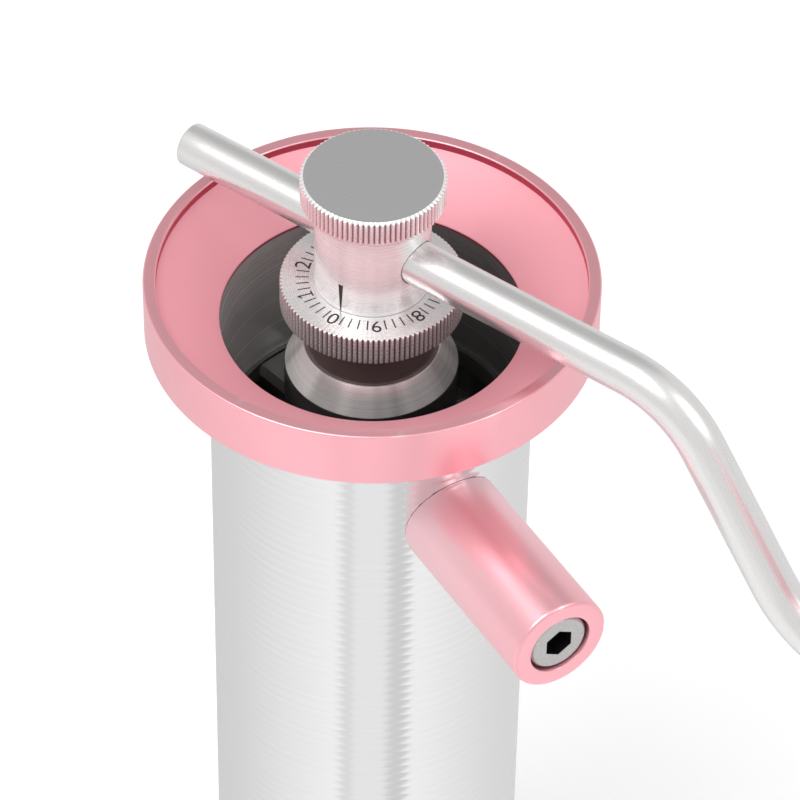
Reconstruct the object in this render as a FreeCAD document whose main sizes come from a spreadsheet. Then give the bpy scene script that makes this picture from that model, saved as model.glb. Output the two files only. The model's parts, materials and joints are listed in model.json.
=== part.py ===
import FreeCAD, Part
import math
import os

import Sketcher
from FreeCAD import Placement, Rotation, Vector

# Hand crank coffee grinder, in millimetres, +Z up.
# The origin is the centre of the catch cup's flat base, on the grinding axis, and +X points along
# the side handle.  At rest the crank arm lies crank_angle degrees round from +X, seen from above.

doc = FreeCAD.newDocument("coffee_grinder")
sheet = doc.addObject("Spreadsheet::Sheet", "Sizes")
SIZES = {}


def put(**values):
    """Write each named size into the sheet, one row for a name and its number."""
    for name, value in values.items():
        row = len(SIZES) + 1
        sheet.set("A%d" % row, name)
        sheet.set("B%d" % row, "%.6f" % value)
        sheet.setAlias("B%d" % row, name)
        SIZES[name] = value


def size(name):
    return SIZES[name]


# ---------------------------------------------------------------- driving sizes

COLLAR_TOP = 185.0          # height of the collar's rim above the table
CUP_HEIGHT = 46.0
ROD_RADIUS = 4.0
BODY_RADIUS = 28.85
HOPPER_RADIUS = 26.9
SHAFT_RADIUS = 4.0
SLEEVE_RADIUS = 6.0
DIAL_PITCH = 0.5            # the dial's thread: 50 divisions of 0.01 mm
DIAL_TURNS = 3.0
CRANK_ANGLE = 21.68
BALL_COUNT = 10
MAGNET_COUNT = 6
DIAL_TEETH = 108
KNOB_TEETH = 84
FINE_TEETH = 36            # grinding grooves round the inner burr's lower cone
COARSE_TEETH = 6           # crushing grooves round its upper cone
RING_TEETH = 40
RUNNING_GAP = 0.05

put(zero=0.0, crank_angle=CRANK_ANGLE)

# Collar: flat rim, a small step and a cone down to the opening; it is bonded over the tube's top end.
put(
    collar_radius=40.2,
    collar_top=COLLAR_TOP,
    collar_bottom=COLLAR_TOP - 11.1,
    collar_seat=COLLAR_TOP - 9.6,
    collar_edge=0.3,
    rim_inner_radius=37.9,
    rim_inner_edge=0.25,
    step_bottom=COLLAR_TOP - 1.6,
    opening_top=COLLAR_TOP - 9.05,
)

# Body tube: hopper bore at the top, a funnel in the middle, the burr seat and the cup's spigot below.
put(
    body_radius=BODY_RADIUS,
    hopper_radius=HOPPER_RADIUS,
    bridge_shoulder=COLLAR_TOP - 45.0,
    chamber_radius=25.3,
    funnel_top=COLLAR_TOP - 64.0,
    funnel_bottom=COLLAR_TOP - 71.0,
    throat_radius=22.0,
    burr_top=COLLAR_TOP - 72.0,
    burr_bottom=COLLAR_TOP - 94.0,
    burr_seat_radius=24.0,
    retainer_radius=24.6,
    cup_height=CUP_HEIGHT,
    tube_bottom=CUP_HEIGHT - 12.0,
    cup_spigot_radius=27.2,
    seam_gap=0.1,
    groove_pitch=2.0,
    groove_depth=0.12,
    groove_width=0.8,
    groove_top=COLLAR_TOP - 13.0,
    cup_groove_top=CUP_HEIGHT - 2.9,
)

# Bearing bridge: rim, three arms and the bearing housing; cone cap on top of it.
put(
    bridge_radius=HOPPER_RADIUS,
    bridge_top=COLLAR_TOP - 37.0,
    bridge_lip_radius=26.1,
    bridge_slope_bottom=COLLAR_TOP - 39.0,
    bridge_inner_radius=24.9,
    bridge_arm_width=10.0,
    bridge_arm_edge=1.2,
    first_arm_angle=71.34,
    housing_radius=15.5,
    housing_top=COLLAR_TOP - 19.8,
    housing_bottom=COLLAR_TOP - 62.0,
    housing_bore=10.9,
    cone_top=COLLAR_TOP - 15.0,
    cone_top_radius=12.3,
    cone_bore=12.0,
    cone_lip_top=COLLAR_TOP - 19.6,
    cone_lip_bore=10.9,
)

# Bearings: 12 x 24 x 6 mm, one under the cone cap and one at the housing's foot.
put(
    bearing_outer_radius=12.0,
    outer_race_radius=10.4,
    inner_race_radius=7.6,
    sleeve_radius=SLEEVE_RADIUS,
    ball_radius=1.6,
    ball_circle=9.0,
    race_groove_radius=1.65,
    cage_inner_radius=7.7,
    cage_outer_radius=10.3,
    cage_bottom=1.15,
    cage_height=0.75,
    upper_bearing_bottom=COLLAR_TOP - 27.0,
    upper_bearing_top=COLLAR_TOP - 21.0,
    lower_bearing_bottom=COLLAR_TOP - 60.0,
    lower_bearing_top=COLLAR_TOP - 54.0,
    spacer_radius=7.3,
    circlip_top=COLLAR_TOP - 60.05,
    circlip_bottom=COLLAR_TOP - 61.05,
    bridge_clip_groove=12.6,
    bridge_clip_inner=10.9,
    sleeve_clip_groove=5.5,
    sleeve_clip_outer=7.7,
    clip_gap=4.0,
)

# Neck sleeve, dial, hub and drive shaft.
put(
    neck_radius=11.9,
    neck_top=COLLAR_TOP - 5.75,
    neck_bottom=COLLAR_TOP - 19.3,
    neck_shoulder_radius=7.3,
    sleeve_bottom=COLLAR_TOP - 62.0,
    sleeve_bore=SHAFT_RADIUS + 0.04,
    sleeve_flat=3.44,
    dial_radius=16.28,
    dial_top=COLLAR_TOP - 0.2,
    dial_bottom=COLLAR_TOP - 5.7,
    dial_edge=0.4,
    dial_bore=7.0,
    dial_tooth_depth=0.42,
    dial_tooth_half=0.36,
    hub_radius=10.2,
    hub_bottom=COLLAR_TOP - 0.1,
    hub_top=COLLAR_TOP + 17.3,
    hub_edge=0.4,
    hub_spigot_radius=6.95,
    hub_spigot_bottom=COLLAR_TOP - 5.4,
    rod_height=COLLAR_TOP + 8.96,
    rod_hole_radius=ROD_RADIUS + 0.15,
    clamp_hole_radius=3.05,
    shaft_radius=SHAFT_RADIUS,
    shaft_flat=3.4,
    shaft_top=COLLAR_TOP + 4.4,
    flat_bottom=COLLAR_TOP - 64.0,
    shaft_collar_radius=6.0,
    shaft_collar_top=COLLAR_TOP - 69.0,
    shaft_bottom=COLLAR_TOP - 103.0,
    shaft_edge=0.5,
    set_screw_height=COLLAR_TOP + 2.3,
    set_screw_radius=1.5,
    set_screw_length=5.6,
    set_screw_hex=0.75,
    mark_angle=-63.46,
    mark_top=COLLAR_TOP + 5.9,
    mark_depth=0.12,
    mark_half_top=0.48,
    mark_half_bottom=0.12,
)

# Clamp knob, its stud and the brass pad that presses on the rod.
put(
    knob_radius=12.73,
    knob_face_radius=12.1,
    knob_top=COLLAR_TOP + 23.6,
    knob_edge_bottom=COLLAR_TOP + 23.2,
    knurl_bottom=COLLAR_TOP + 18.9,
    knob_band_radius=12.05,
    knob_bottom=COLLAR_TOP + 17.8,
    knob_tooth_depth=0.4,
    knob_tooth_half=0.34,
    stud_radius=3.0,
    stud_top=COLLAR_TOP + 21.5,
    stud_bottom=COLLAR_TOP + 14.1,
    pad_radius=2.9,
    pad_bottom=COLLAR_TOP + 13.02,
    pad_top=COLLAR_TOP + 14.05,
)

# Crank arm: straight through the hub, down in a steep run, then level again to the hand knob.
ARM_DROP_ANGLE = math.radians(54.6)
ARM_CORNER = 64.4           # from the axis to the first corner of the rod's centre line
ARM_RUN = 49.4              # from the first corner to the second, along the rod
KNOB_DISTANCE = 145.0       # from the grinding axis to the hand knob's axis
ROD_HEIGHT = SIZES["rod_height"]
ARM_LOW = ROD_HEIGHT - ARM_RUN * math.sin(ARM_DROP_ANGLE)
put(
    rod_radius=ROD_RADIUS,
    rod_edge=0.6,
    arm_tail=41.0,
    first_bend_radius=19.7,
    second_bend_radius=22.4,
    arm_low=ARM_LOW,
    arm_tip=KNOB_DISTANCE + 5.0,
    knob_distance=KNOB_DISTANCE,
    rod_flat=ARM_LOW + 3.2,
    flat_length=12.0,
    axle_thread_radius=2.5,
)

# Hand knob on its shoulder screw.
GRIP_BOTTOM = SIZES["rod_flat"] + 1.2
put(
    washer_radius=6.0,
    washer_top=SIZES["rod_flat"] + 1.0,
    axle_radius=3.0,
    axle_bore=3.04,
    axle_bottom=ARM_LOW - 3.4,
    axle_shoulder=SIZES["rod_flat"],
    grip_bottom=GRIP_BOTTOM,
    grip_foot_radius=9.5,
    grip_foot_top=GRIP_BOTTOM + 2.5,
    grip_radius=16.0,
    grip_middle=GRIP_BOTTOM + 27.0,
    grip_shoulder_radius=13.2,
    grip_shoulder=GRIP_BOTTOM + 41.0,
    grip_lower_arc=38.0,
    grip_upper_arc=34.0,
    grip_face_radius=9.5,
    grip_top=GRIP_BOTTOM + 44.5,
    grip_crown_arc=4.6,
    head_recess_radius=5.3,
    head_recess=GRIP_BOTTOM + 39.5,
    grip_bore=4.5,
    bush_length=8.0,
    axle_head_radius=5.0,
    axle_head_bottom=GRIP_BOTTOM + 39.7,
    axle_head_top=GRIP_BOTTOM + 43.7,
    axle_head_edge=0.5,
    axle_hex=2.0,
    axle_hex_depth=2.2,
)

# Side handle, its boss on the body and its screw; these lie along +X at the handle's height.
put(
    handle_height=COLLAR_TOP - 35.26,
    handle_radius=9.22,
    handle_end=63.8,
    handle_start=26.0,
    handle_fillet=0.7,
    saddle_radius=BODY_RADIUS,
    boss_radius=5.0,
    boss_hole_radius=5.05,
    boss_end=40.0,
    boss_hole_end=40.4,
    screw_hole_radius=3.2,
    screw_seat=57.4,
    counterbore_radius=5.8,
    screw_radius=3.0,
    screw_tip=32.0,
    screw_head_radius=5.5,
    screw_face=63.3,
    screw_head_edge=0.35,
    screw_hex=2.5,
    screw_hex_depth=3.0,
)

# Burrs, their retainer, washer and nut.
GRIND_SLOPE = 0.3           # how much the grinding cone widens for each millimetre down
RING_FOOT = 20.9
CONE_FOOT = RING_FOOT - GRIND_SLOPE * DIAL_PITCH * DIAL_TURNS - 0.05
put(
    ring_mouth_radius=21.4,
    ring_throat=COLLAR_TOP - 75.0,
    ring_throat_radius=RING_FOOT - GRIND_SLOPE * 19.0,
    ring_foot_radius=RING_FOOT,
    ring_tooth_depth=0.7,
    retainer_bottom=COLLAR_TOP - 98.5,
    retainer_bore=22.0,
    retainer_slot=3.0,
    retainer_slot_depth=2.0,
    cone_foot_radius=CONE_FOOT,
    cone_knee=COLLAR_TOP - 84.0,
    cone_knee_radius=CONE_FOOT - GRIND_SLOPE * 10.0,
    cone_head_radius=8.5,
    burr_washer_radius=9.0,
    burr_washer_bottom=COLLAR_TOP - 95.5,
    nut_bottom=COLLAR_TOP - 101.5,
    nut_half=6.5,
    fine_depth=0.9,
    fine_half=0.75,
    fine_lean=14.0,
    coarse_depth=3.2,
    coarse_half=2.6,
    coarse_lean=24.0,
    ring_tooth_half=0.7,
    ring_lean=-12.0,
    magnet_radius=1.0,
    magnet_circle=25.9,
    magnet_length=3.0,
)

# Preload spring between the neck sleeve's foot and the shaft's collar.
put(
    spring_wire=0.45,
    spring_radius=5.2,
    spring_pitch=1.35,
    spring_length=5.4,
    spring_bottom=COLLAR_TOP - 68.4,
)

# Catch cup.
put(
    cup_edge=0.6,
    cup_floor=3.0,
    cup_floor_fillet=3.0,
    cup_inner_radius=25.2,
    cup_ledge=CUP_HEIGHT - 12.3,
    cup_mouth_radius=27.3,
)


# ---------------------------------------------------------------- sizes worked out from the ones above

# Edges of the collar.
put(
    collar_edge_height=size("collar_top") - size("collar_edge"),
    collar_edge_radius=size("collar_radius") - size("collar_edge"),
    rim_edge_radius=size("rim_inner_radius") + size("rim_inner_edge"),
    rim_edge_height=size("collar_top") - size("rim_inner_edge"),
)

# The bridge's arms.
put(
    arm_half=size("bridge_arm_width") / 2,
    arm_top_half=size("bridge_arm_width") / 2 - size("bridge_arm_edge"),
    arm_edge_height=size("bridge_top") - size("bridge_arm_edge"),
    arm_reach=size("bridge_inner_radius") + 0.6,
    arm_root=size("housing_radius") - 1.0,
)

# Edges of the side handle and of the two socket screws.
put(
    handle_fillet_start=size("handle_end") - size("handle_fillet"),
    handle_face_radius=size("handle_radius") - size("handle_fillet"),
    screw_head_edge_height=size("screw_face") - size("screw_head_edge"),
    screw_head_face=size("screw_head_radius") - size("screw_head_edge"),
    axle_head_edge_height=size("axle_head_top") - size("axle_head_edge"),
    axle_head_face=size("axle_head_radius") - size("axle_head_edge"),
)

# Edges of the dial, the hub, the shaft and the clamp knob.
put(
    dial_face_radius=size("dial_radius") - size("dial_edge"),
    dial_edge_height=size("dial_top") - size("dial_edge"),
    dial_foot_edge=size("dial_bottom") + size("dial_edge"),
    hub_edge_height=size("hub_top") - size("hub_edge"),
    hub_face_radius=size("hub_radius") - size("hub_edge"),
    shaft_tip_radius=size("shaft_radius") - size("shaft_edge"),
    shaft_tip_height=size("shaft_bottom") + size("shaft_edge"),
    knob_band_face=size("knob_band_radius") - 0.3,
    knob_band_edge=size("knob_bottom") + 0.3,
)

# Hand knob and its bushes.
put(
    grip_foot_edge=size("grip_foot_radius") + 1.2,
    lower_bush_top=size("grip_bottom") + size("bush_length"),
    upper_bush_bottom=size("head_recess") - size("bush_length"),
)

# Edges of the catch cup.
put(
    cup_foot_radius=size("body_radius") - size("cup_edge"),
    cup_rim=size("cup_height") - size("seam_gap"),
    cup_fillet_top=size("cup_floor") + size("cup_floor_fillet"),
    cup_floor_radius=size("cup_inner_radius") - size("cup_floor_fillet"),
)

# Half the width of the ball groove where it meets a bearing ring's face.
RACE_SETBACK = size("ball_circle") - size("inner_race_radius")
RACE_HALF = math.sqrt(size("race_groove_radius") ** 2 - RACE_SETBACK ** 2)

doc.recompute()


# ---------------------------------------------------------------- building blocks

def bind(thing, path, name):
    thing.setExpression(path, "Sizes." + name)


def plane(body, role):
    return next(item for item in body.Origin.OriginFeatures if item.Role == role)


def new_body(name):
    body = doc.addObject("PartDesign::Body", name)
    body.Label = name
    return body


def new_sketch(body, name, role="XZ_Plane"):
    sketch = body.newObject("Sketcher::SketchObject", name)
    sketch.AttachmentSupport = [(plane(body, role), "")]
    sketch.MapMode = "FlatFace"
    return sketch


def pin_point(sketch, line, end, x_name, y_name):
    """Fix one end of a line to named distances from the sketch's origin."""
    for kind, name in (("DistanceX", x_name), ("DistanceY", y_name)):
        sign = -1 if name.startswith("-") else 1
        name = name.lstrip("-")
        if size(name) == 0:
            axis_line = -2 if kind == "DistanceX" else -1
            sketch.addConstraint(Sketcher.Constraint("PointOnObject", line, end, axis_line))
            continue
        number = sketch.addConstraint(Sketcher.Constraint(kind, -1, 1, line, end, sign * size(name)))
        sketch.setExpression("Constraints[%d]" % number, "%sSizes.%s" % ("-" if sign < 0 else "", name))


def named(name):
    return -size(name[1:]) if name.startswith("-") else size(name)


def outline(sketch, points, closed=True):
    """Draw straight and curved runs through named points.

    A point is (x, y), or (x, y, radius, bulge) where the run that ends there is an arc of that named
    radius which bulges to the left (+1) or to the right (-1) of its direction of travel.
    """
    places = [Vector(named(p[0]), named(p[1]), 0) for p in points]
    runs = []
    count = len(points) if closed else len(points) - 1
    for index in range(count):
        after = (index + 1) % len(points)
        start, stop = places[index], places[after]
        if len(points[after]) == 2:
            number = sketch.addGeometry(Part.LineSegment(start, stop), False)
            runs.append((number, 1, 2))
            continue
        radius, bulge = size(points[after][2]), points[after][3]
        chord = stop - start
        left = Vector(-chord.y, chord.x, 0).normalize()
        rise = radius - math.sqrt(radius ** 2 - (chord.Length / 2) ** 2)
        middle = (start + stop) * 0.5 + left * (rise * bulge)
        arc = Part.Arc(start, middle, stop)
        number = sketch.addGeometry(arc, False)
        first = sketch.getPoint(number, 1)
        runs.append((number, 1, 2) if first.distanceToPoint(start) < 1e-6 else (number, 2, 1))
        limit = sketch.addConstraint(Sketcher.Constraint("Radius", number, radius))
        sketch.setExpression("Constraints[%d]" % limit, "Sizes." + points[after][2])
    for index in range(count if closed else count - 1):
        here, following = runs[index], runs[(index + 1) % count]
        sketch.addConstraint(Sketcher.Constraint("Coincident", here[0], here[2], following[0], following[1]))
    for index in range(count):
        pin_point(sketch, runs[index][0], runs[index][1], *points[index][:2])
    if not closed:
        pin_point(sketch, runs[-1][0], runs[-1][2], *points[-1][:2])


def turned(name, points):
    """A lathe-turned body: the closed outline of (radius, height) points, turned about Z."""
    body = new_body(name)
    sketch = new_sketch(body, name + "_profile")
    outline(sketch, points)
    turn = body.newObject("PartDesign::Revolution", name + "_turn")
    turn.Profile = sketch
    turn.ReferenceAxis = (sketch, ["V_Axis"])
    turn.Angle = 360
    sketch.Visibility = False
    doc.recompute()
    return body


def level_sketch(body, name, height):
    """A sketch on the body's own XY plane, lifted to a named height."""
    sketch = new_sketch(body, name, "XY_Plane")
    sketch.setExpression("AttachmentOffset.Base.z", "Sizes." + height)
    return sketch


def cut_down(body, sketch, depth, name):
    """Pocket a sketch downwards by a depth, and stop if nothing was cut away."""
    before = body.Shape.Volume
    pocket = body.newObject("PartDesign::Pocket", name)
    pocket.Profile = sketch
    pocket.Length = depth
    doc.recompute()
    if body.Shape.Volume > before - 1e-6:
        raise RuntimeError(name + " cut nothing")
    return pocket


def polar(body, feature, count, name):
    """Repeat a feature evenly round Z."""
    pattern = body.newObject("PartDesign::PolarPattern", name)
    pattern.Originals = [feature]
    pattern.Axis = (plane(body, "Z_Axis"), [""])
    pattern.Angle = 360
    pattern.Occurrences = count
    body.Tip = pattern
    doc.recompute()
    return pattern


def hexagon_pocket(body, name, height, half_width, depth):
    """A hex socket in the top of a screw: half_width is half the size across its flats."""
    sketch = level_sketch(body, name + "_hex", height)
    corner = size(half_width) / math.cos(math.radians(30))
    places = [Vector(corner * math.cos(math.radians(60 * i)), corner * math.sin(math.radians(60 * i)), 0)
              for i in range(6)]
    for index in range(6):
        sketch.addGeometry(Part.LineSegment(places[index], places[(index + 1) % 6]), False)
    for index in range(6):
        sketch.addConstraint(Sketcher.Constraint("Coincident", index, 2, (index + 1) % 6, 1))
        sketch.addConstraint(Sketcher.Constraint("Equal", index, (index + 1) % 6) if index < 5 else
                             Sketcher.Constraint("Horizontal", 1))
    for index in (1, 4):
        number = sketch.addConstraint(Sketcher.Constraint("Distance", -1, 1, index, size(half_width)))
        bind(sketch, "Constraints[%d]" % number, half_width)
    return cut_down(body, sketch, size(depth), name + "_socket")


def cylinder(name, radius, start, stop):
    """A plain upright cylinder between two named heights."""
    rod = doc.addObject("Part::Cylinder", name)
    bind(rod, "Radius", radius)
    rod.setExpression("Height", "Sizes.%s - Sizes.%s" % (stop, start))
    rod.setExpression("Placement.Base.z", "Sizes." + start)
    return rod


def block(name, corner, far_corner):
    """A box between two corners, given in millimetres."""
    box = doc.addObject("Part::Box", name)
    box.Length, box.Width, box.Height = [high - low for low, high in zip(corner, far_corner)]
    box.Placement.Base = Vector(*corner)
    return box


def combine(kind, name, base, *tools):
    """Cut, fuse or intersect: Part::Cut takes away every tool in turn."""
    result = base
    for index, tool in enumerate(tools):
        last = index == len(tools) - 1
        step = doc.addObject(kind, name if last else "%s_step%d" % (name, index + 1))
        step.Base, step.Tool = result, tool
        result = step
    result.Label = name
    doc.recompute()
    return result


def group(name, items):
    """Several separate solids in one node."""
    bundle = doc.addObject("Part::Compound", name)
    bundle.Links = items
    bundle.Label = name
    return bundle


NODES = []


def keep(part):
    NODES.append(part)
    return part


def lay_along_x(part, height):
    """Turn a part's own +Z to the model's +X and lift it to a named height."""
    part.Placement = Placement(Vector(0, 0, size(height)), Rotation(Vector(0, 1, 0), 90))
    bind(part, "Placement.Base.z", height)


def turn_with_crank(part):
    part.Placement = Placement(Vector(0, 0, 0), Rotation(Vector(0, 0, 1), size("crank_angle")))
    part.setExpression("Placement.Rotation.Angle", "Sizes.crank_angle * 1 deg")


# ---------------------------------------------------------------- housing

def grooves(body, name, radius, top, count):
    """Fine horizontal grooves round the outside, evenly spaced downwards from a named height."""
    before = body.Shape.Volume
    sketch = new_sketch(body, name + "_groove_profile")
    depth, half = size("groove_depth"), size("groove_width") / 2
    outer = size(radius)
    middle = size(top)
    floor = Vector(outer - depth, middle, 0)
    places = [Vector(outer, middle + half, 0), floor, Vector(outer, middle - half, 0)]
    sketch.addGeometry(Part.Arc(*places), False)
    sketch.addGeometry(Part.LineSegment(sketch.getPoint(0, 2), sketch.getPoint(0, 1)), False)
    sketch.addConstraint(Sketcher.Constraint("Coincident", 0, 2, 1, 1))
    sketch.addConstraint(Sketcher.Constraint("Coincident", 0, 1, 1, 2))
    cut = body.newObject("PartDesign::Groove", name + "_groove")
    cut.Profile = sketch
    cut.ReferenceAxis = (sketch, ["V_Axis"])
    cut.Angle = 360
    doc.recompute()
    pattern = body.newObject("PartDesign::LinearPattern", name + "_grooves")
    pattern.Originals = [cut]
    pattern.Direction = (plane(body, "Z_Axis"), [""])
    pattern.Reversed = True
    pattern.Length = size("groove_pitch") * (count - 1)
    pattern.Occurrences = count
    body.Tip = pattern
    doc.recompute()
    if body.Shape.Volume > before - 1e-6:
        raise RuntimeError(name + " grooves cut nothing")


def make_collar():
    return turned("collar", [
        ("collar_radius", "collar_bottom"), ("collar_radius", "collar_edge_height"),
        ("collar_edge_radius", "collar_top"), ("rim_edge_radius", "collar_top"),
        ("rim_inner_radius", "rim_edge_height"), ("rim_inner_radius", "step_bottom"),
        ("hopper_radius", "opening_top"), ("hopper_radius", "collar_seat"),
        ("body_radius", "collar_seat"), ("body_radius", "collar_bottom")])


def make_body_tube():
    body = turned("tube_blank", [
        ("body_radius", "cup_height"), ("body_radius", "collar_seat"),
        ("hopper_radius", "collar_seat"), ("hopper_radius", "bridge_shoulder"),
        ("chamber_radius", "bridge_shoulder"), ("chamber_radius", "funnel_top"),
        ("throat_radius", "funnel_bottom"), ("throat_radius", "burr_top"),
        ("burr_seat_radius", "burr_top"), ("burr_seat_radius", "burr_bottom"),
        ("retainer_radius", "burr_bottom"), ("retainer_radius", "tube_bottom"),
        ("cup_spigot_radius", "tube_bottom"), ("cup_spigot_radius", "cup_height")])
    count = int((size("groove_top") - size("cup_height") - 1.0) / size("groove_pitch")) + 1
    grooves(body, "tube", "body_radius", "groove_top", count)
    holes = [doc.addObject("Part::Cylinder", "magnet_hole_%d" % index) for index in range(MAGNET_COUNT)]
    place_magnets(holes)
    return combine("Part::Cut", "body_tube", body, group("magnet_holes", holes))


def place_magnets(items):
    for index, item in enumerate(items):
        bind(item, "Radius", "magnet_radius")
        bind(item, "Height", "magnet_length")
        angle = math.radians(360 * index / MAGNET_COUNT + 30)
        reach = size("magnet_circle")
        item.Placement.Base = Vector(reach * math.cos(angle), reach * math.sin(angle), size("tube_bottom"))


def make_cup_magnets():
    magnets = [doc.addObject("Part::Cylinder", "magnet_%d" % index) for index in range(MAGNET_COUNT)]
    place_magnets(magnets)
    return group("cup_magnets", magnets)


def make_bearing_bridge():
    housing = turned("bridge_housing", [
        ("housing_radius", "housing_bottom"), ("housing_radius", "housing_top"),
        ("bearing_outer_radius", "housing_top"), ("bearing_outer_radius", "upper_bearing_bottom"),
        ("housing_bore", "upper_bearing_bottom"), ("housing_bore", "lower_bearing_top"),
        ("bearing_outer_radius", "lower_bearing_top"), ("bearing_outer_radius", "circlip_top"),
        ("bridge_clip_groove", "circlip_top"), ("bridge_clip_groove", "circlip_bottom"),
        ("bearing_outer_radius", "circlip_bottom"), ("bearing_outer_radius", "housing_bottom")])
    rim = turned("bridge_rim", [
        ("bridge_radius", "bridge_shoulder"), ("bridge_radius", "bridge_top"),
        ("bridge_lip_radius", "bridge_top"), ("bridge_inner_radius", "bridge_slope_bottom"),
        ("bridge_inner_radius", "bridge_shoulder")])
    arm = new_body("bridge_arm")
    section = new_sketch(arm, "bridge_arm_section", "YZ_Plane")
    outline(section, [("arm_half", "bridge_shoulder"), ("arm_half", "arm_edge_height"),
                      ("arm_top_half", "bridge_top"), ("-arm_top_half", "bridge_top"),
                      ("-arm_half", "arm_edge_height"), ("-arm_half", "bridge_shoulder")])
    pad = arm.newObject("PartDesign::Pad", "bridge_arm_pad")
    pad.Profile = section
    bind(pad, "Length", "arm_reach")
    doc.recompute()
    polar(arm, pad, 3, "bridge_arms")
    arm.Placement = Placement(Vector(0, 0, 0), Rotation(Vector(0, 0, 1), size("first_arm_angle")))
    core = cylinder("bridge_arm_core", "arm_root", "sleeve_bottom", "collar_top")
    arms = combine("Part::Cut", "bridge_arms_trimmed", arm, core)
    return combine("Part::Fuse", "bearing_bridge", housing, rim, arms)


def make_cone_cap():
    return turned("cone_cap", [
        ("housing_radius", "housing_top"), ("cone_top_radius", "cone_top"),
        ("cone_bore", "cone_top"), ("cone_bore", "cone_lip_top"),
        ("cone_lip_bore", "cone_lip_top"), ("cone_lip_bore", "upper_bearing_top"),
        ("bearing_outer_radius", "upper_bearing_top"), ("bearing_outer_radius", "housing_top")])


def circlip(name, inner, outer, gap_side):
    ring = turned(name + "_ring", [
        (outer, "circlip_bottom"), (outer, "circlip_top"), (inner, "circlip_top"), (inner, "circlip_bottom")])
    half = size("clip_gap") / 2
    reach = 20.0
    low, high = size("circlip_bottom") - 1, size("circlip_top") + 1
    gap = block(name + "_gap", (min(0, gap_side * reach), -half, low), (max(0, gap_side * reach), half, high))
    return combine("Part::Cut", name, ring, gap)


def make_side_handle():
    body = turned("side_handle_blank", [
        ("handle_radius", "handle_start"), ("handle_radius", "handle_fillet_start"),
        ("handle_face_radius", "handle_end", "handle_fillet", -1),
        ("counterbore_radius", "handle_end"), ("counterbore_radius", "screw_seat"),
        ("screw_hole_radius", "screw_seat"), ("screw_hole_radius", "boss_hole_end"),
        ("boss_hole_radius", "boss_hole_end"), ("boss_hole_radius", "handle_start")])
    lay_along_x(body, "handle_height")
    saddle = cylinder("handle_saddle", "saddle_radius", "cup_height", "collar_top")
    return combine("Part::Cut", "side_handle", body, saddle)


def make_handle_boss():
    body = turned("handle_boss_blank", [
        ("boss_radius", "handle_start"), ("boss_radius", "boss_end"),
        ("screw_radius", "boss_end"), ("screw_radius", "handle_start")])
    lay_along_x(body, "handle_height")
    saddle = cylinder("boss_saddle", "saddle_radius", "cup_height", "collar_top")
    return combine("Part::Cut", "handle_boss", body, saddle)


def make_handle_screw():
    body = turned("handle_screw", [
        ("zero", "screw_tip"), ("screw_radius", "screw_tip"), ("screw_radius", "screw_seat"),
        ("screw_head_radius", "screw_seat"), ("screw_head_radius", "screw_head_edge_height"),
        ("screw_head_face", "screw_face"), ("zero", "screw_face")])
    hexagon_pocket(body, "handle_screw", "screw_face", "screw_hex", "screw_hex_depth")
    lay_along_x(body, "handle_height")
    return body


# ---------------------------------------------------------------- bearings

def ball_set(name, radius, height):
    balls = []
    for index in range(BALL_COUNT):
        ball = doc.addObject("Part::Sphere", "%s_%d" % (name, index))
        bind(ball, "Radius", radius)
        angle = 2 * math.pi * index / BALL_COUNT
        reach = size("ball_circle")
        ball.Placement.Base = Vector(reach * math.cos(angle), reach * math.sin(angle), height)
        balls.append(ball)
    return group(name, balls)


def make_bearing(place):
    """One ball bearing: outer ring, inner ring, balls and the crown-shaped cage over them."""
    bottom, top = place + "_bearing_bottom", place + "_bearing_top"
    height = (size(bottom) + size(top)) / 2
    put(**{place + "_race_low": height - RACE_HALF, place + "_race_high": height + RACE_HALF})
    doc.recompute()
    low, high = place + "_race_low", place + "_race_high"
    keep(turned(place + "_bearing_outer", [
        ("bearing_outer_radius", bottom), ("bearing_outer_radius", top), ("outer_race_radius", top),
        ("outer_race_radius", high), ("outer_race_radius", low, "race_groove_radius", 1),
        ("outer_race_radius", bottom)]))
    keep(turned(place + "_bearing_inner", [
        ("sleeve_radius", bottom), ("inner_race_radius", bottom), ("inner_race_radius", low),
        ("inner_race_radius", high, "race_groove_radius", 1), ("inner_race_radius", top),
        ("sleeve_radius", top)]))
    keep(ball_set(place + "_bearing_balls", "ball_radius", height))
    crown = doc.addObject("Part::Cylinder", place + "_cage_disc")
    hole = doc.addObject("Part::Cylinder", place + "_cage_hole")
    for disc, radius in ((crown, "cage_outer_radius"), (hole, "cage_inner_radius")):
        bind(disc, "Radius", radius)
        bind(disc, "Height", "cage_height")
        disc.Placement.Base.z = height + size("cage_bottom")
    pockets = ball_set(place + "_cage_pockets", "race_groove_radius", height)
    keep(combine("Part::Cut", place + "_bearing_cage", crown, hole, pockets))


# ---------------------------------------------------------------- turning parts

def double_flat(name, radius, flat, start, stop):
    """A cylinder with two flats, parallel to the XZ plane."""
    round_part = cylinder(name + "_round", radius, start, stop)
    reach, half = size(radius) + 1, size(flat)
    slab = block(name + "_slab", (-reach, -half, size(start) - 1), (reach, half, size(stop) + 1))
    return combine("Part::Common", name, round_part, slab)


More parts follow.
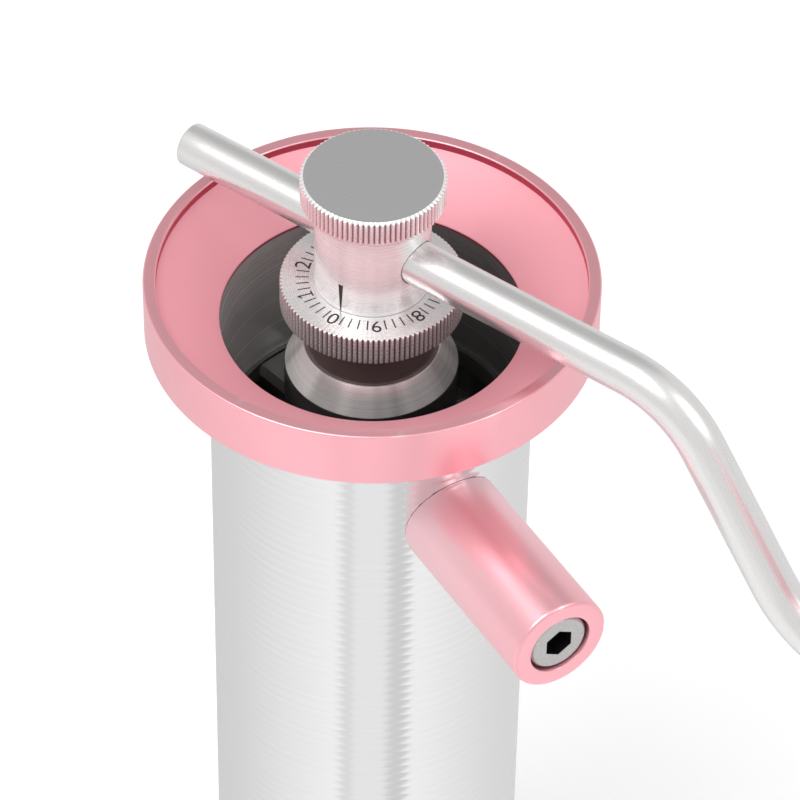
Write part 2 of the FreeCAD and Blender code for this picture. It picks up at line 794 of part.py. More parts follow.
def make_neck_sleeve():
    blank = turned("neck_sleeve_blank", [
        ("zero", "sleeve_bottom"), ("sleeve_radius", "sleeve_bottom"),
        ("sleeve_radius", "circlip_bottom"), ("sleeve_clip_groove", "circlip_bottom"),
        ("sleeve_clip_groove", "circlip_top"), ("sleeve_radius", "circlip_top"),
        ("sleeve_radius", "upper_bearing_top"), ("neck_shoulder_radius", "upper_bearing_top"),
        ("neck_shoulder_radius", "neck_bottom"), ("neck_radius", "neck_bottom"),
        ("neck_radius", "neck_top"), ("zero", "neck_top")])
    bore = double_flat("sleeve_keyway", "sleeve_bore", "sleeve_flat", "nut_bottom", "collar_top")
    sleeve = combine("Part::Cut", "neck_sleeve", blank, bore)
    turn_with_crank(sleeve)
    return sleeve


def make_bearing_spacer():
    return turned("bearing_spacer", [
        ("spacer_radius", "lower_bearing_top"), ("spacer_radius", "upper_bearing_bottom"),
        ("sleeve_radius", "upper_bearing_bottom"), ("sleeve_radius", "lower_bearing_top")])


def notch(body, name, top, radius, depth, half):
    """The triangle of one straight knurl groove, pointing at the axis."""
    sketch = level_sketch(body, name + "_notch", top)
    tip = Vector(size(radius) - size(depth), 0, 0)
    reach = size(radius) + 0.3
    spread = size(half) * (reach - tip.x) / size(depth)
    corners = [tip, Vector(reach, spread, 0), Vector(reach, -spread, 0)]
    for index in range(3):
        sketch.addGeometry(Part.LineSegment(corners[index], corners[(index + 1) % 3]), False)
    for index in range(3):
        sketch.addConstraint(Sketcher.Constraint("Coincident", index, 2, (index + 1) % 3, 1))
    return sketch


def make_dial():
    body = turned("dial", [
        ("dial_radius", "dial_foot_edge"), ("dial_radius", "dial_edge_height"),
        ("dial_face_radius", "dial_top"), ("dial_bore", "dial_top"),
        ("dial_bore", "dial_bottom"), ("dial_face_radius", "dial_bottom")])
    sketch = notch(body, "dial", "dial_top", "dial_radius", "dial_tooth_depth", "dial_tooth_half")
    cut = cut_down(body, sketch, size("dial_top") - size("dial_bottom") + 1, "dial_tooth")
    polar(body, cut, DIAL_TEETH, "dial_knurl")
    return body


def make_hub():
    blank = turned("hub_blank", [
        ("hub_radius", "hub_bottom"), ("hub_radius", "hub_edge_height"),
        ("hub_face_radius", "hub_top"), ("zero", "hub_top"),
        ("zero", "hub_spigot_bottom"), ("hub_spigot_radius", "hub_spigot_bottom"),
        ("hub_spigot_radius", "hub_bottom")])
    keyway = double_flat("hub_keyway", "shaft_radius", "shaft_flat", "hub_spigot_bottom", "shaft_top")
    stud_hole = cylinder("stud_hole", "clamp_hole_radius", "rod_height", "hub_top")
    cross_hole = doc.addObject("Part::Cylinder", "cross_hole")
    bind(cross_hole, "Radius", "rod_hole_radius")
    cross_hole.Height = 40
    cross_hole.Placement = Placement(Vector(-20, 0, size("rod_height")), Rotation(Vector(0, 1, 0), 90))
    screw_hole = set_screw_cylinder("set_screw_hole", size("hub_radius") + 1)
    drilled = combine("Part::Cut", "hub_drilled", blank, keyway, stud_hole, cross_hole, screw_hole)
    turn_with_crank(drilled)
    return combine("Part::Cut", "hub", drilled, index_mark_tool())


def index_mark_tool():
    """A wedge that engraves the index mark: wide at its top, pointed at the dial."""
    outer, inner = size("hub_radius") + 1, size("hub_radius") - size("mark_depth")
    top, bottom = size("mark_top"), size("hub_bottom") - 0.2
    corners = [(-size("mark_half_top"), top), (size("mark_half_top"), top),
               (size("mark_half_bottom"), bottom), (-size("mark_half_bottom"), bottom)]
    wire = Part.makePolygon([Vector(inner, y, z) for y, z in corners + corners[:1]])
    wedge = doc.addObject("Part::Feature", "index_mark_wedge")
    wedge.Shape = Part.Face(wire).extrude(Vector(outer - inner, 0, 0))
    wedge.Placement = Placement(Vector(0, 0, 0), Rotation(Vector(0, 0, 1), size("mark_angle")))
    return wedge


def set_screw_cylinder(name, reach):
    """A cylinder along the hub's own +Y, from the shaft's flat outwards."""
    rod = doc.addObject("Part::Cylinder", name)
    bind(rod, "Radius", "set_screw_radius")
    start = size("shaft_flat")
    rod.Height = reach - start
    rod.Placement = Placement(Vector(0, start, size("set_screw_height")), Rotation(Vector(1, 0, 0), -90))
    return rod


def make_hub_set_screw():
    rod = set_screw_cylinder("set_screw_blank", size("shaft_flat") + size("set_screw_length"))
    prism = doc.addObject("Part::Prism", "set_screw_hex_tool")
    prism.Polygon = 6
    prism.Circumradius = size("set_screw_hex") / math.cos(math.radians(30))
    prism.Height = 3
    far_end = size("shaft_flat") + size("set_screw_length")
    socket_foot = Vector(0, far_end - 1.6, size("set_screw_height"))
    prism.Placement = Placement(socket_foot, Rotation(Vector(1, 0, 0), -90))
    screw = combine("Part::Cut", "hub_set_screw", rod, prism)
    turn_with_crank(screw)
    return screw


def make_drive_shaft():
    lower = turned("shaft_lower", [
        ("zero", "shaft_bottom"), ("shaft_tip_radius", "shaft_bottom"),
        ("shaft_radius", "shaft_tip_height"), ("shaft_radius", "burr_top"),
        ("shaft_collar_radius", "burr_top"), ("shaft_collar_radius", "shaft_collar_top"),
        ("shaft_radius", "shaft_collar_top"), ("shaft_radius", "flat_bottom"), ("zero", "flat_bottom")])
    upper = double_flat("shaft_upper", "shaft_radius", "shaft_flat", "flat_bottom", "shaft_top")
    shaft = combine("Part::Fuse", "drive_shaft", lower, upper)
    turn_with_crank(shaft)
    return shaft


def make_clamp_knob():
    body = turned("clamp_knob", [
        ("knob_band_face", "knob_bottom"), ("knob_band_radius", "knob_band_edge"),
        ("knob_band_radius", "knurl_bottom"), ("knob_radius", "knurl_bottom"),
        ("knob_radius", "knob_edge_bottom"), ("knob_face_radius", "knob_top"), ("zero", "knob_top"),
        ("zero", "stud_top"), ("stud_radius", "stud_top"), ("stud_radius", "knob_bottom")])
    sketch = notch(body, "knob", "knob_top", "knob_radius", "knob_tooth_depth", "knob_tooth_half")
    cut = cut_down(body, sketch, size("knob_top") - size("knurl_bottom"), "knob_tooth")
    polar(body, cut, KNOB_TEETH, "knob_knurl")
    return body


def make_clamp_screw():
    return turned("clamp_screw", [
        ("zero", "stud_bottom"), ("stud_radius", "stud_bottom"),
        ("stud_radius", "stud_top"), ("zero", "stud_top")])


def make_clamp_pad():
    return turned("clamp_pad", [
        ("zero", "pad_bottom"), ("pad_radius", "pad_bottom"), ("pad_radius", "pad_top"), ("zero", "pad_top")])


# ---------------------------------------------------------------- crank arm and hand knob

def bend_points(before, corner, after, radius):
    """Where a bend of this radius starts and ends on the two runs that meet at a corner."""
    into, out = (before - corner).normalize(), (after - corner).normalize()
    half = into.getAngle(out) / 2
    reach = radius / math.tan(half)
    return corner + into * reach, corner + out * reach


def make_crank_arm():
    tail = Vector(-size("arm_tail"), size("rod_height"), 0)
    first = Vector(ARM_CORNER, size("rod_height"), 0)
    second = first + Vector(ARM_RUN * math.cos(ARM_DROP_ANGLE), -ARM_RUN * math.sin(ARM_DROP_ANGLE), 0)
    tip = Vector(size("arm_tip"), size("arm_low"), 0)
    bend_a, bend_b = bend_points(tail, first, second, size("first_bend_radius"))
    bend_c, bend_d = bend_points(first, second, tip, size("second_bend_radius"))
    put(bend_a_x=bend_a.x, bend_b_x=bend_b.x, bend_b_z=bend_b.y,
        bend_c_x=bend_c.x, bend_c_z=bend_c.y, bend_d_x=bend_d.x)
    doc.recompute()
    body = new_body("rod")
    path = new_sketch(body, "rod_path")
    outline(path, [("-arm_tail", "rod_height"), ("bend_a_x", "rod_height"),
                   ("bend_b_x", "bend_b_z", "first_bend_radius", 1), ("bend_c_x", "bend_c_z"),
                   ("bend_d_x", "arm_low", "second_bend_radius", -1), ("arm_tip", "arm_low")], closed=False)
    section = new_sketch(body, "rod_section", "YZ_Plane")
    section.AttachmentOffset = Placement(Vector(0, 0, -size("arm_tail")), Rotation())
    middle = Vector(0, size("rod_height"), 0)
    section.addGeometry(Part.Circle(middle, Vector(0, 0, 1), size("rod_radius")), False)
    limit = section.addConstraint(Sketcher.Constraint("Radius", 0, size("rod_radius")))
    bind(section, "Constraints[%d]" % limit, "rod_radius")
    pin_point(section, 0, 3, "zero", "rod_height")
    doc.recompute()
    pipe = body.newObject("PartDesign::AdditivePipe", "rod_pipe")
    pipe.Profile = section
    pipe.Spine = path
    doc.recompute()
    ends = [edge for edge in range(1, len(body.Shape.Edges) + 1)
            if body.Shape.Edges[edge - 1].BoundBox.XLength < 1e-3]
    fillet = body.newObject("PartDesign::Fillet", "rod_ends")
    fillet.Base = (pipe, ["Edge%d" % edge for edge in ends])
    bind(fillet, "Radius", "rod_edge")
    doc.recompute()
    reach = size("flat_length") / 2
    centre = size("knob_distance")
    side = size("rod_radius") + 6
    flat = block("rod_flat_tool", (centre - reach, -side, size("rod_flat")),
                 (centre + reach, side, size("rod_flat") + side))
    hole = cylinder("axle_hole", "axle_thread_radius", "cup_height", "rod_flat")
    hole.Placement.Base.x = centre
    arm = combine("Part::Cut", "crank_arm", body, flat, hole)
    turn_with_crank(arm)
    return arm


def at_the_grip(part):
    """Put a part that was turned about its own Z onto the hand knob's axis."""
    angle = math.radians(size("crank_angle"))
    reach = size("knob_distance")
    part.Placement = Placement(Vector(reach * math.cos(angle), reach * math.sin(angle), 0),
                               Rotation(Vector(0, 0, 1), size("crank_angle")))
    part.setExpression("Placement.Base.x", "Sizes.knob_distance * cos(Sizes.crank_angle * 1 deg)")
    part.setExpression("Placement.Base.y", "Sizes.knob_distance * sin(Sizes.crank_angle * 1 deg)")
    return part


def make_knob_axle():
    body = turned("knob_axle", [
        ("zero", "axle_bottom"), ("axle_thread_radius", "axle_bottom"),
        ("axle_thread_radius", "axle_shoulder"),
        ("axle_radius", "axle_shoulder"), ("axle_radius", "axle_head_bottom"),
        ("axle_head_radius", "axle_head_bottom"), ("axle_head_radius", "axle_head_edge_height"),
        ("axle_head_face", "axle_head_top"), ("zero", "axle_head_top")])
    hexagon_pocket(body, "knob_axle", "axle_head_top", "axle_hex", "axle_hex_depth")
    return at_the_grip(body)


def make_knob_washer():
    return at_the_grip(turned("knob_washer", [
        ("axle_bore", "rod_flat"), ("washer_radius", "rod_flat"),
        ("washer_radius", "washer_top"), ("axle_bore", "washer_top")]))


def make_hand_knob():
    return at_the_grip(turned("hand_knob", [
        ("grip_foot_radius", "grip_bottom"), ("grip_foot_edge", "grip_foot_top"),
        ("grip_radius", "grip_middle", "grip_lower_arc", -1),
        ("grip_shoulder_radius", "grip_shoulder", "grip_upper_arc", -1),
        ("grip_face_radius", "grip_top", "grip_crown_arc", -1),
        ("head_recess_radius", "grip_top"), ("head_recess_radius", "head_recess"),
        ("grip_bore", "head_recess"), ("grip_bore", "grip_bottom")]))


def knob_bush(name, start, stop):
    return at_the_grip(turned(name, [
        ("axle_bore", start), ("grip_bore", start), ("grip_bore", stop), ("axle_bore", stop)]))


# ---------------------------------------------------------------- burrs

def burr_groove_tool(name, foot, head, kind):
    """A long wedge that cuts one grinding groove, leaning round the axis.

    foot and head are its (radius, height) at each end, and kind names its depth, half width and lean.
    """
    depth, half = size(kind + "_depth"), size(kind + "_half")

    def section(radius, height, angle):
        tip = Vector(radius - depth, 0, height)
        far = radius + 3.0
        spread = half * (far - tip.x) / depth
        places = [tip, Vector(far, spread, height), Vector(far, -spread, height)]
        turn = Rotation(Vector(0, 0, 1), angle)
        return Part.makePolygon([turn.multVec(place) for place in places + places[:1]])

    tool = doc.addObject("Part::Feature", name)
    tool.Shape = Part.makeLoft([section(*foot, 0), section(*head, size(kind + "_lean"))], True, True)
    return tool


def ring_of_tools(name, tool, count):
    copies = []
    for index in range(count):
        copy = doc.addObject("Part::Feature", "%s_%d" % (name, index))
        copy.Shape = tool.Shape
        copy.Placement = Placement(Vector(0, 0, 0), Rotation(Vector(0, 0, 1), 360.0 * index / count))
        copies.append(copy)
    return group(name, copies)


def make_inner_burr():
    blank = turned("inner_burr_blank", [
        ("shaft_radius", "burr_bottom"), ("cone_foot_radius", "burr_bottom"),
        ("cone_knee_radius", "cone_knee"), ("cone_head_radius", "burr_top"), ("shaft_radius", "burr_top")])
    past = 1.0
    fine = burr_groove_tool("inner_fine_tool", (size("cone_foot_radius") + 0.3, size("burr_bottom") - past),
                            (size("cone_knee_radius") - 0.6, size("cone_knee") + 1.5), "fine")
    coarse = burr_groove_tool("inner_coarse_tool", (size("cone_knee_radius") + 0.8, size("cone_knee") - 1.5),
                              (size("cone_head_radius") - 0.5, size("burr_top") + past), "coarse")
    return combine("Part::Cut", "inner_burr", blank, ring_of_tools("inner_fine", fine, FINE_TEETH),
                   ring_of_tools("inner_coarse", coarse, COARSE_TEETH))


def ring_groove_tool():
    """The wedge of one groove in the ring burr, cut outwards from its bore."""
    depth, half = size("ring_tooth_depth"), size("ring_tooth_half")

    def section(radius, height, angle):
        near = radius - 2.0
        spread = half * (radius + depth - near) / depth
        tip = Vector(radius + depth, 0, height)
        places = [tip, Vector(near, spread, height), Vector(near, -spread, height)]
        turn = Rotation(Vector(0, 0, 1), angle)
        return Part.makePolygon([turn.multVec(place) for place in places + places[:1]])

    low, high = size("burr_bottom") - 1, size("burr_top") + 1
    head_radius = RING_FOOT - GRIND_SLOPE * (high - size("burr_bottom"))
    tool = doc.addObject("Part::Feature", "ring_groove_tool")
    tool.Shape = Part.makeLoft([section(RING_FOOT, low, 0), section(head_radius, high, size("ring_lean"))],
                               True, True)
    return tool


def make_ring_burr():
    blank = turned("ring_burr_blank", [
        ("ring_foot_radius", "burr_bottom"), ("burr_seat_radius", "burr_bottom"),
        ("burr_seat_radius", "burr_top"), ("ring_mouth_radius", "burr_top"),
        ("ring_throat_radius", "ring_throat")])
    tools = ring_of_tools("ring_grooves", ring_groove_tool(), RING_TEETH)
    return combine("Part::Cut", "ring_burr", blank, tools)


def make_burr_retainer():
    ring = turned("burr_retainer_ring", [
        ("retainer_bore", "retainer_bottom"), ("retainer_radius", "retainer_bottom"),
        ("retainer_radius", "burr_bottom"), ("retainer_bore", "burr_bottom")])
    half, reach = size("retainer_slot") / 2, 30.0
    low = size("retainer_bottom") - 1
    high = size("retainer_bottom") + size("retainer_slot_depth")
    slot = block("retainer_slot_tool", (-reach, -half, low), (reach, half, high))
    return combine("Part::Cut", "burr_retainer", ring, slot)


def make_burr_washer():
    return turned("burr_washer", [
        ("shaft_radius", "burr_washer_bottom"), ("burr_washer_radius", "burr_washer_bottom"),
        ("burr_washer_radius", "burr_bottom"), ("shaft_radius", "burr_bottom")])


def make_burr_nut():
    prism = doc.addObject("Part::Prism", "burr_nut_prism")
    prism.Polygon = 6
    prism.setExpression("Circumradius", "Sizes.nut_half / cos(30 deg)")
    prism.setExpression("Height", "Sizes.burr_washer_bottom - Sizes.nut_bottom")
    bind(prism, "Placement.Base.z", "nut_bottom")
    hole = cylinder("burr_nut_hole", "shaft_radius", "shaft_bottom", "burr_bottom")
    return combine("Part::Cut", "burr_nut", prism, hole)


def make_preload_spring():
    helix = doc.addObject("Part::Helix", "spring_helix")
    bind(helix, "Pitch", "spring_pitch")
    bind(helix, "Height", "spring_length")
    bind(helix, "Radius", "spring_radius")
    wire = doc.addObject("Part::Circle", "spring_wire_section")
    bind(wire, "Radius", "spring_wire")
    wire.Placement = Placement(Vector(size("spring_radius"), 0, 0), Rotation(Vector(1, 0, 0), 90))
    doc.recompute()
    spring = doc.addObject("Part::Sweep", "preload_spring")
    spring.Sections = [wire]
    spring.Spine = (helix, ["Edge%d" % (i + 1) for i in range(len(helix.Shape.Edges))])
    spring.Solid = True
    spring.Frenet = True
    spring.Label = "preload_spring"
    bind(spring, "Placement.Base.z", "spring_bottom")
    return spring


# ---------------------------------------------------------------- catch cup

def make_catch_cup():
    body = turned("catch_cup", [
        ("cup_foot_radius", "zero"), ("body_radius", "cup_edge"), ("body_radius", "cup_rim"),
        ("cup_mouth_radius", "cup_rim"), ("cup_mouth_radius", "cup_ledge"),
        ("cup_inner_radius", "cup_ledge"), ("cup_inner_radius", "cup_fillet_top"),
        ("cup_floor_radius", "cup_floor", "cup_floor_fillet", 1), ("zero", "cup_floor"), ("zero", "zero")])
    count = int((size("cup_groove_top") - 2.0) / size("groove_pitch")) + 1
    grooves(body, "cup", "body_radius", "cup_groove_top", count)
    return body


# ---------------------------------------------------------------- the whole grinder

def build():
    for make in (make_body_tube, make_collar, make_bearing_bridge, make_cone_cap, make_cup_magnets,
                 make_side_handle, make_handle_boss, make_handle_screw, make_neck_sleeve, make_bearing_spacer,
                 make_dial, make_hub, make_hub_set_screw, make_drive_shaft, make_clamp_knob, make_clamp_screw,
                 make_clamp_pad, make_crank_arm, make_knob_axle, make_knob_washer, make_hand_knob,
                 make_inner_burr, make_ring_burr, make_burr_retainer, make_burr_washer, make_burr_nut,
                 make_preload_spring, make_catch_cup):
        keep(make())
    make_bearing("upper")
    make_bearing("lower")
    keep(circlip("bridge_circlip", "bridge_clip_inner", "bridge_clip_groove", 1))
    keep(circlip("sleeve_circlip", "sleeve_clip_groove", "sleeve_clip_outer", -1))
    keep(knob_bush("lower_knob_bush", "grip_bottom", "lower_bush_top"))
    keep(knob_bush("upper_knob_bush", "upper_bush_bottom", "head_recess"))


def check_and_export():
    doc.recompute()
    for item in doc.Objects:
        if "Invalid" in item.State or "Error" in item.State:
            raise RuntimeError("%s failed: %s" % (item.Name, item.State))
    for part in NODES:
        if part.Shape.isNull() or not part.Shape.isValid() or not part.Shape.Solids:
            raise RuntimeError(part.Label + " has no valid solid")
    os.makedirs("parts", exist_ok=True)
    for part in NODES:
        part.Shape.exportStep("parts/%s.step" % part.Label)
        print("%-22s %10.1f mm3  solids %d" % (part.Label, part.Shape.Volume, len(part.Shape.Solids)))


build()
check_and_export()
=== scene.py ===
import json
import math

import bmesh
import bpy
from mathutils import Matrix, Vector


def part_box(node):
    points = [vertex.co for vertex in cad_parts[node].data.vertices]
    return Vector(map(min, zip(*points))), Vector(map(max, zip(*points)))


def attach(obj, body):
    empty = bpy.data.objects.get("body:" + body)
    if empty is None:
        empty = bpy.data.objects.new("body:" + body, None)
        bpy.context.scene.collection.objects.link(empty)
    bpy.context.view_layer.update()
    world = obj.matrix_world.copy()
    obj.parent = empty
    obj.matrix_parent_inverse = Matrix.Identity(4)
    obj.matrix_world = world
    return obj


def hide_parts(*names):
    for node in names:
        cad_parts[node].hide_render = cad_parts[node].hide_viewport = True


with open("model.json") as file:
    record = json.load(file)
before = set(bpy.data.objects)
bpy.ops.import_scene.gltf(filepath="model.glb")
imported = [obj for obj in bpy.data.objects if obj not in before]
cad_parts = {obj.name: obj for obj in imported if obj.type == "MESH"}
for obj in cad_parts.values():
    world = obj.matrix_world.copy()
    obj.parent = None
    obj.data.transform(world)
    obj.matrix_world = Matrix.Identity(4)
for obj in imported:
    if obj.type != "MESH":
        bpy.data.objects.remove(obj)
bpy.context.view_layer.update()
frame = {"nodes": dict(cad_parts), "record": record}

# Sizes are in millimetres until a mesh is made, which is in metres.
MM = 0.001
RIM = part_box("collar")[1].z / MM            # top of the collar
CUP_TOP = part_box("body_tube")[0].z / MM + 12.0
CRANK_ANGLE = math.radians(21.68)
CAMERA_AZIMUTH = 58.34
CAMERA_ELEVATION = 44.08
BODY_RADIUS = 28.85
HOPPER_RADIUS = 26.9
KNOB_DISTANCE = 145.0
INDEX_ANGLE = -63.46                        # where the hub's mark and the dial's 0 point, in degrees
SHARP_ANGLE = 32                            # edges bent by more than this stay sharp, in degrees


# ---------------------------------------------------------------- outlines

def rounded(points):
    """Turn (radius, height) points, or (radius, height, fillet), into an outline with rounded corners."""
    made = []
    count = len(points)
    for index, point in enumerate(points):
        here = Vector(point[:2])
        fillet = point[2] if len(point) > 2 else 0
        if not fillet:
            made.append(tuple(here))
            continue
        into = (Vector(points[index - 1][:2]) - here).normalized()
        out = (Vector(points[(index + 1) % count][:2]) - here).normalized()
        half = into.angle(out) / 2
        centre = here + (into + out).normalized() * (fillet / math.sin(half))
        start = here + into * (fillet / math.tan(half)) - centre
        sweep = start.angle_signed(here + out * (fillet / math.tan(half)) - centre)
        steps = 5
        for step in range(steps + 1):
            turn = Matrix.Rotation(-sweep * step / steps, 2)
            made.append(tuple(centre + turn @ start))
    return made


def arc(start, stop, radius, steps=10):
    """Points between two places along an arc that bulges to the left of its travel, without its ends."""
    a, b = Vector(start), Vector(stop)
    chord = b - a
    left = Vector((-chord.y, chord.x)).normalized()
    side = 1 if radius > 0 else -1
    radius = abs(radius)
    centre = (a + b) / 2 - left * side * math.sqrt(radius ** 2 - (chord.length / 2) ** 2)
    first, last = a - centre, b - centre
    sweep = first.angle_signed(last)
    return [tuple(centre + Matrix.Rotation(-sweep * i / steps, 2) @ first) for i in range(1, steps)]


def grooved(radius, top, count):
    """An outline up the outside of a tube, with a shallow round groove every two millimetres."""
    pitch, half, depth = 2.0, 0.36, 0.045
    made = []
    for index in reversed(range(count)):
        height = top - pitch * index
        for part in (-1.0, -0.6, -0.2, 0.2, 0.6, 1.0):
            made.append((radius - depth * (1 - part ** 2), height + part * half))
    return made


# ---------------------------------------------------------------- meshes

def new_object(name, mesh):
    made = bpy.data.objects.new(name, mesh)
    bpy.context.scene.collection.objects.link(made)
    return made


def finished_mesh(name, shape):
    """A mesh from a bmesh, with outward faces, smooth except at its true edges."""
    bmesh.ops.recalc_face_normals(shape, faces=shape.faces)
    mesh = bpy.data.meshes.new(name)
    shape.to_mesh(mesh)
    shape.free()
    mesh.shade_smooth()
    mesh.set_sharp_from_angle(angle=math.radians(SHARP_ANGLE))
    return new_object(name, mesh)


def lathe(name, outline, steps=192, placed=None):
    """Turn a closed outline of (radius, height) points about Z.

    placed(radius, height, angle) may move a point.
    """
    shape = bmesh.new()
    rings = []
    for radius, height in outline:
        if radius < 1e-6:
            rings.append([shape.verts.new((0, 0, height * MM))])
            continue
        ring = []
        for step in range(steps):
            angle = 2 * math.pi * step / steps
            r, h = placed(radius, height, angle) if placed else (radius, height)
            ring.append(shape.verts.new((r * math.cos(angle) * MM, r * math.sin(angle) * MM, h * MM)))
        rings.append(ring)
    for index, ring in enumerate(rings):
        following = rings[(index + 1) % len(rings)]
        if len(ring) == 1 and len(following) == 1:
            continue
        for step in range(steps):
            after = (step + 1) % steps
            corners = [ring[step % len(ring)], ring[after % len(ring)],
                       following[after % len(following)], following[step % len(following)]]
            shape.faces.new(list(dict.fromkeys(corners)))
    return finished_mesh(name, shape)


def knurl(radius, depth, teeth, share, low=-1e9):
    """Straight V grooves round an outline's outside, above a height."""
    def placed(r, height, angle):
        if height < low:
            return r, height
        along = (angle * teeth / (2 * math.pi) + 0.5) % 1 - 0.5
        cut = max(0.0, 1 - abs(along) / share)
        return min(r, radius - depth * cut), height
    return placed


# ---------------------------------------------------------------- materials

class Finish:
    """One procedural material: a Principled surface and the nodes that feed it."""

    def __init__(self, name, colour, metallic=1.0, roughness=0.3, **fixed):
        self.material = bpy.data.materials.new(name)
        self.material.use_nodes = True
        self.tree = self.material.node_tree
        self.surface = self.tree.nodes["Principled BSDF"]
        self.colour = (*colour, 1.0)
        self.roughness = roughness
        self.set(self.surface, "Base Color", self.colour)
        self.set(self.surface, "Metallic", metallic)
        self.set(self.surface, "Roughness", roughness)
        for socket, value in fixed.items():
            self.set(self.surface, socket.replace("_", " "), value)

    def set(self, node, socket, value):
        if isinstance(value, bpy.types.NodeSocket):
            self.tree.links.new(value, node.inputs[socket])
        else:
            node.inputs[socket].default_value = value

    def node(self, kind, inputs, **settings):
        made = self.tree.nodes.new("ShaderNode" + kind)
        for name, value in settings.items():
            setattr(made, name, value)
        for socket, value in inputs.items():
            self.set(made, socket, value)
        return made

    def math(self, operation, a, b=0.0):
        return self.node("Math", {0: a, 1: b}, operation=operation).outputs[0]

    def place(self):
        """The point's own place on the piece, in millimetres."""
        raw = self.node("TexCoord", {}).outputs["Object"]
        return self.node("VectorMath", {0: raw, "Scale": 1 / MM}, operation="SCALE").outputs[0]

    def attribute(self, name):
        return self.node("Attribute", {}, attribute_name=name).outputs["Vector"]

    def stretched(self, vector, scales):
        return self.node("VectorMath", {0: vector, 1: scales}, operation="MULTIPLY").outputs[0]

    def distance(self, vector):
        """Distance from the Z axis."""
        flat = self.stretched(vector, (1, 1, 0))
        return self.node("VectorMath", {0: flat}, operation="LENGTH").outputs["Value"]

    def turned(self, vector):
        """Coordinates that are the same all the way round Z, as a lathe's marks are."""
        height = self.node("SeparateXYZ", {0: vector}).outputs[2]
        return self.node("CombineXYZ", {0: self.distance(vector), 2: height}).outputs[0]

    def noise(self, vector, scale, detail=3.0):
        return self.node("TexNoise", {"Vector": vector, "Scale": scale, "Detail": detail}).outputs["Fac"]

    def ranged(self, value, low, high, out_low, out_high):
        inputs = {"Value": value, "From Min": low, "From Max": high, "To Min": out_low, "To Max": out_high}
        return self.node("MapRange", inputs).outputs[0]

    def blend(self, factor, first, second):
        mix = self.node("Mix", {}, data_type="RGBA")
        self.set(mix, 0, factor)
        self.set(mix, 6, first)
        self.set(mix, 7, second)
        return mix.outputs[2]

    def bump(self, height, distance, strength):
        inputs = {"Height": height, "Distance": distance * MM, "Strength": strength}
        self.set(self.surface, "Normal", self.node("Bump", inputs).outputs[0])

    def vary(self, factor, spread, shade):
        """Colour and roughness that drift a little with a 0 to 1 factor."""
        darker = tuple(channel * (1 - shade) for channel in self.colour[:3]) + (1.0,)
        tint = self.blend(factor, darker, self.colour)
        self.set(self.surface, "Base Color", tint)
        rough = self.ranged(factor, 0.25, 0.75, self.roughness + spread, max(0.02, self.roughness - spread))
        self.set(self.surface, "Roughness", rough)
        return tint

    def worn_and_highlit_edges(self, tint, bright, amount):
        """Edges made a little brighter: partly rubbed wear, partly a painted highlight."""
        point = self.node("NewGeometry", {}).outputs["Pointiness"]
        edge = self.ranged(point, 0.52, 0.60, 0.0, amount)
        self.set(self.surface, "Base Color", self.blend(edge, tint, (*bright, 1.0)))

    def spin_grain(self):
        """Anisotropic highlights that follow the turning about Z."""
        tangent = self.node("Tangent", {}, direction_type="RADIAL", axis="Z").outputs[0]
        self.set(self.surface, "Tangent", tangent)


def anodised(name, colour, metallic=0.88, roughness=0.32, wear_and_highlight=0.7):
    """Satin anodised metal, pale at its edges from wear and a painted highlight."""
    made = Finish(name, colour, metallic=metallic, roughness=roughness, Coat_Weight=0.10, Coat_Roughness=0.30)
    place = made.place()
    tint = made.vary(made.noise(place, 0.08), 0.03, 0.05)
    if wear_and_highlight:
        made.worn_and_highlit_edges(tint, (0.98, 0.72, 0.76), wear_and_highlight)
    made.bump(made.noise(place, 9.0), 0.008, 0.3)
    return made.material


def turned_steel(name, colour, roughness, lines=9.0, depth=0.003, grain=0.55, metallic=1.0, painted_streaks=0.0):
    """Lathe-turned steel with fine marks round the axis."""
    made = Finish(name, colour, metallic=metallic, roughness=roughness, Anisotropic=grain)
    place = made.place()
    marks = made.noise(made.turned(place), lines, 4.0)
    tint = made.vary(marks, 0.05, 0.07)
    if painted_streaks:
        # Painted reflection: dark streaks round the axis stand in for the surroundings that the steel reflects.
        way = made.node("VectorMath", {0: made.stretched(place, (1, 1, 0))}, operation="NORMALIZE").outputs[0]
        fan = made.ranged(made.noise(way, 2.6, 1.0), 0.42, 0.62, 0.0, painted_streaks)
        tint = made.blend(fan, tint, (*(channel * 0.30 for channel in colour), 1.0))
    # Pale edges: wear together with a painted highlight.
    made.worn_and_highlit_edges(tint, (0.95, 0.95, 0.95), 0.5)
    made.bump(marks, depth, 0.4)
    made.spin_grain()
    return made


def knurled_steel(name, colour, radius, depth, groove_shade, low, high):
    """Turned steel whose knurl grooves, between two heights, are darkened with painted shade."""
    made = turned_steel(name, colour, 0.26, metallic=0.7)
    place = made.place()
    out, height = made.distance(place), made.node("SeparateXYZ", {0: place}).outputs[2]
    # Painted shade: the bottoms of the knurl grooves are darkened.
    shaded_deep = made.ranged(out, radius - depth, radius - 0.3 * depth, 1.0, 0.0)
    for socket, edge, passes in ((out, radius - 1.2 * depth, "GREATER_THAN"), (height, low, "GREATER_THAN"),
                                 (height, high, "LESS_THAN")):
        shaded_deep = made.math("MULTIPLY", shaded_deep, made.math(passes, socket, edge))
    marked = made.surface.inputs["Base Color"].links[0].from_socket
    made.set(made.surface, "Base Color", made.blend(shaded_deep, marked, (*groove_shade, 1.0)))
    return made.material


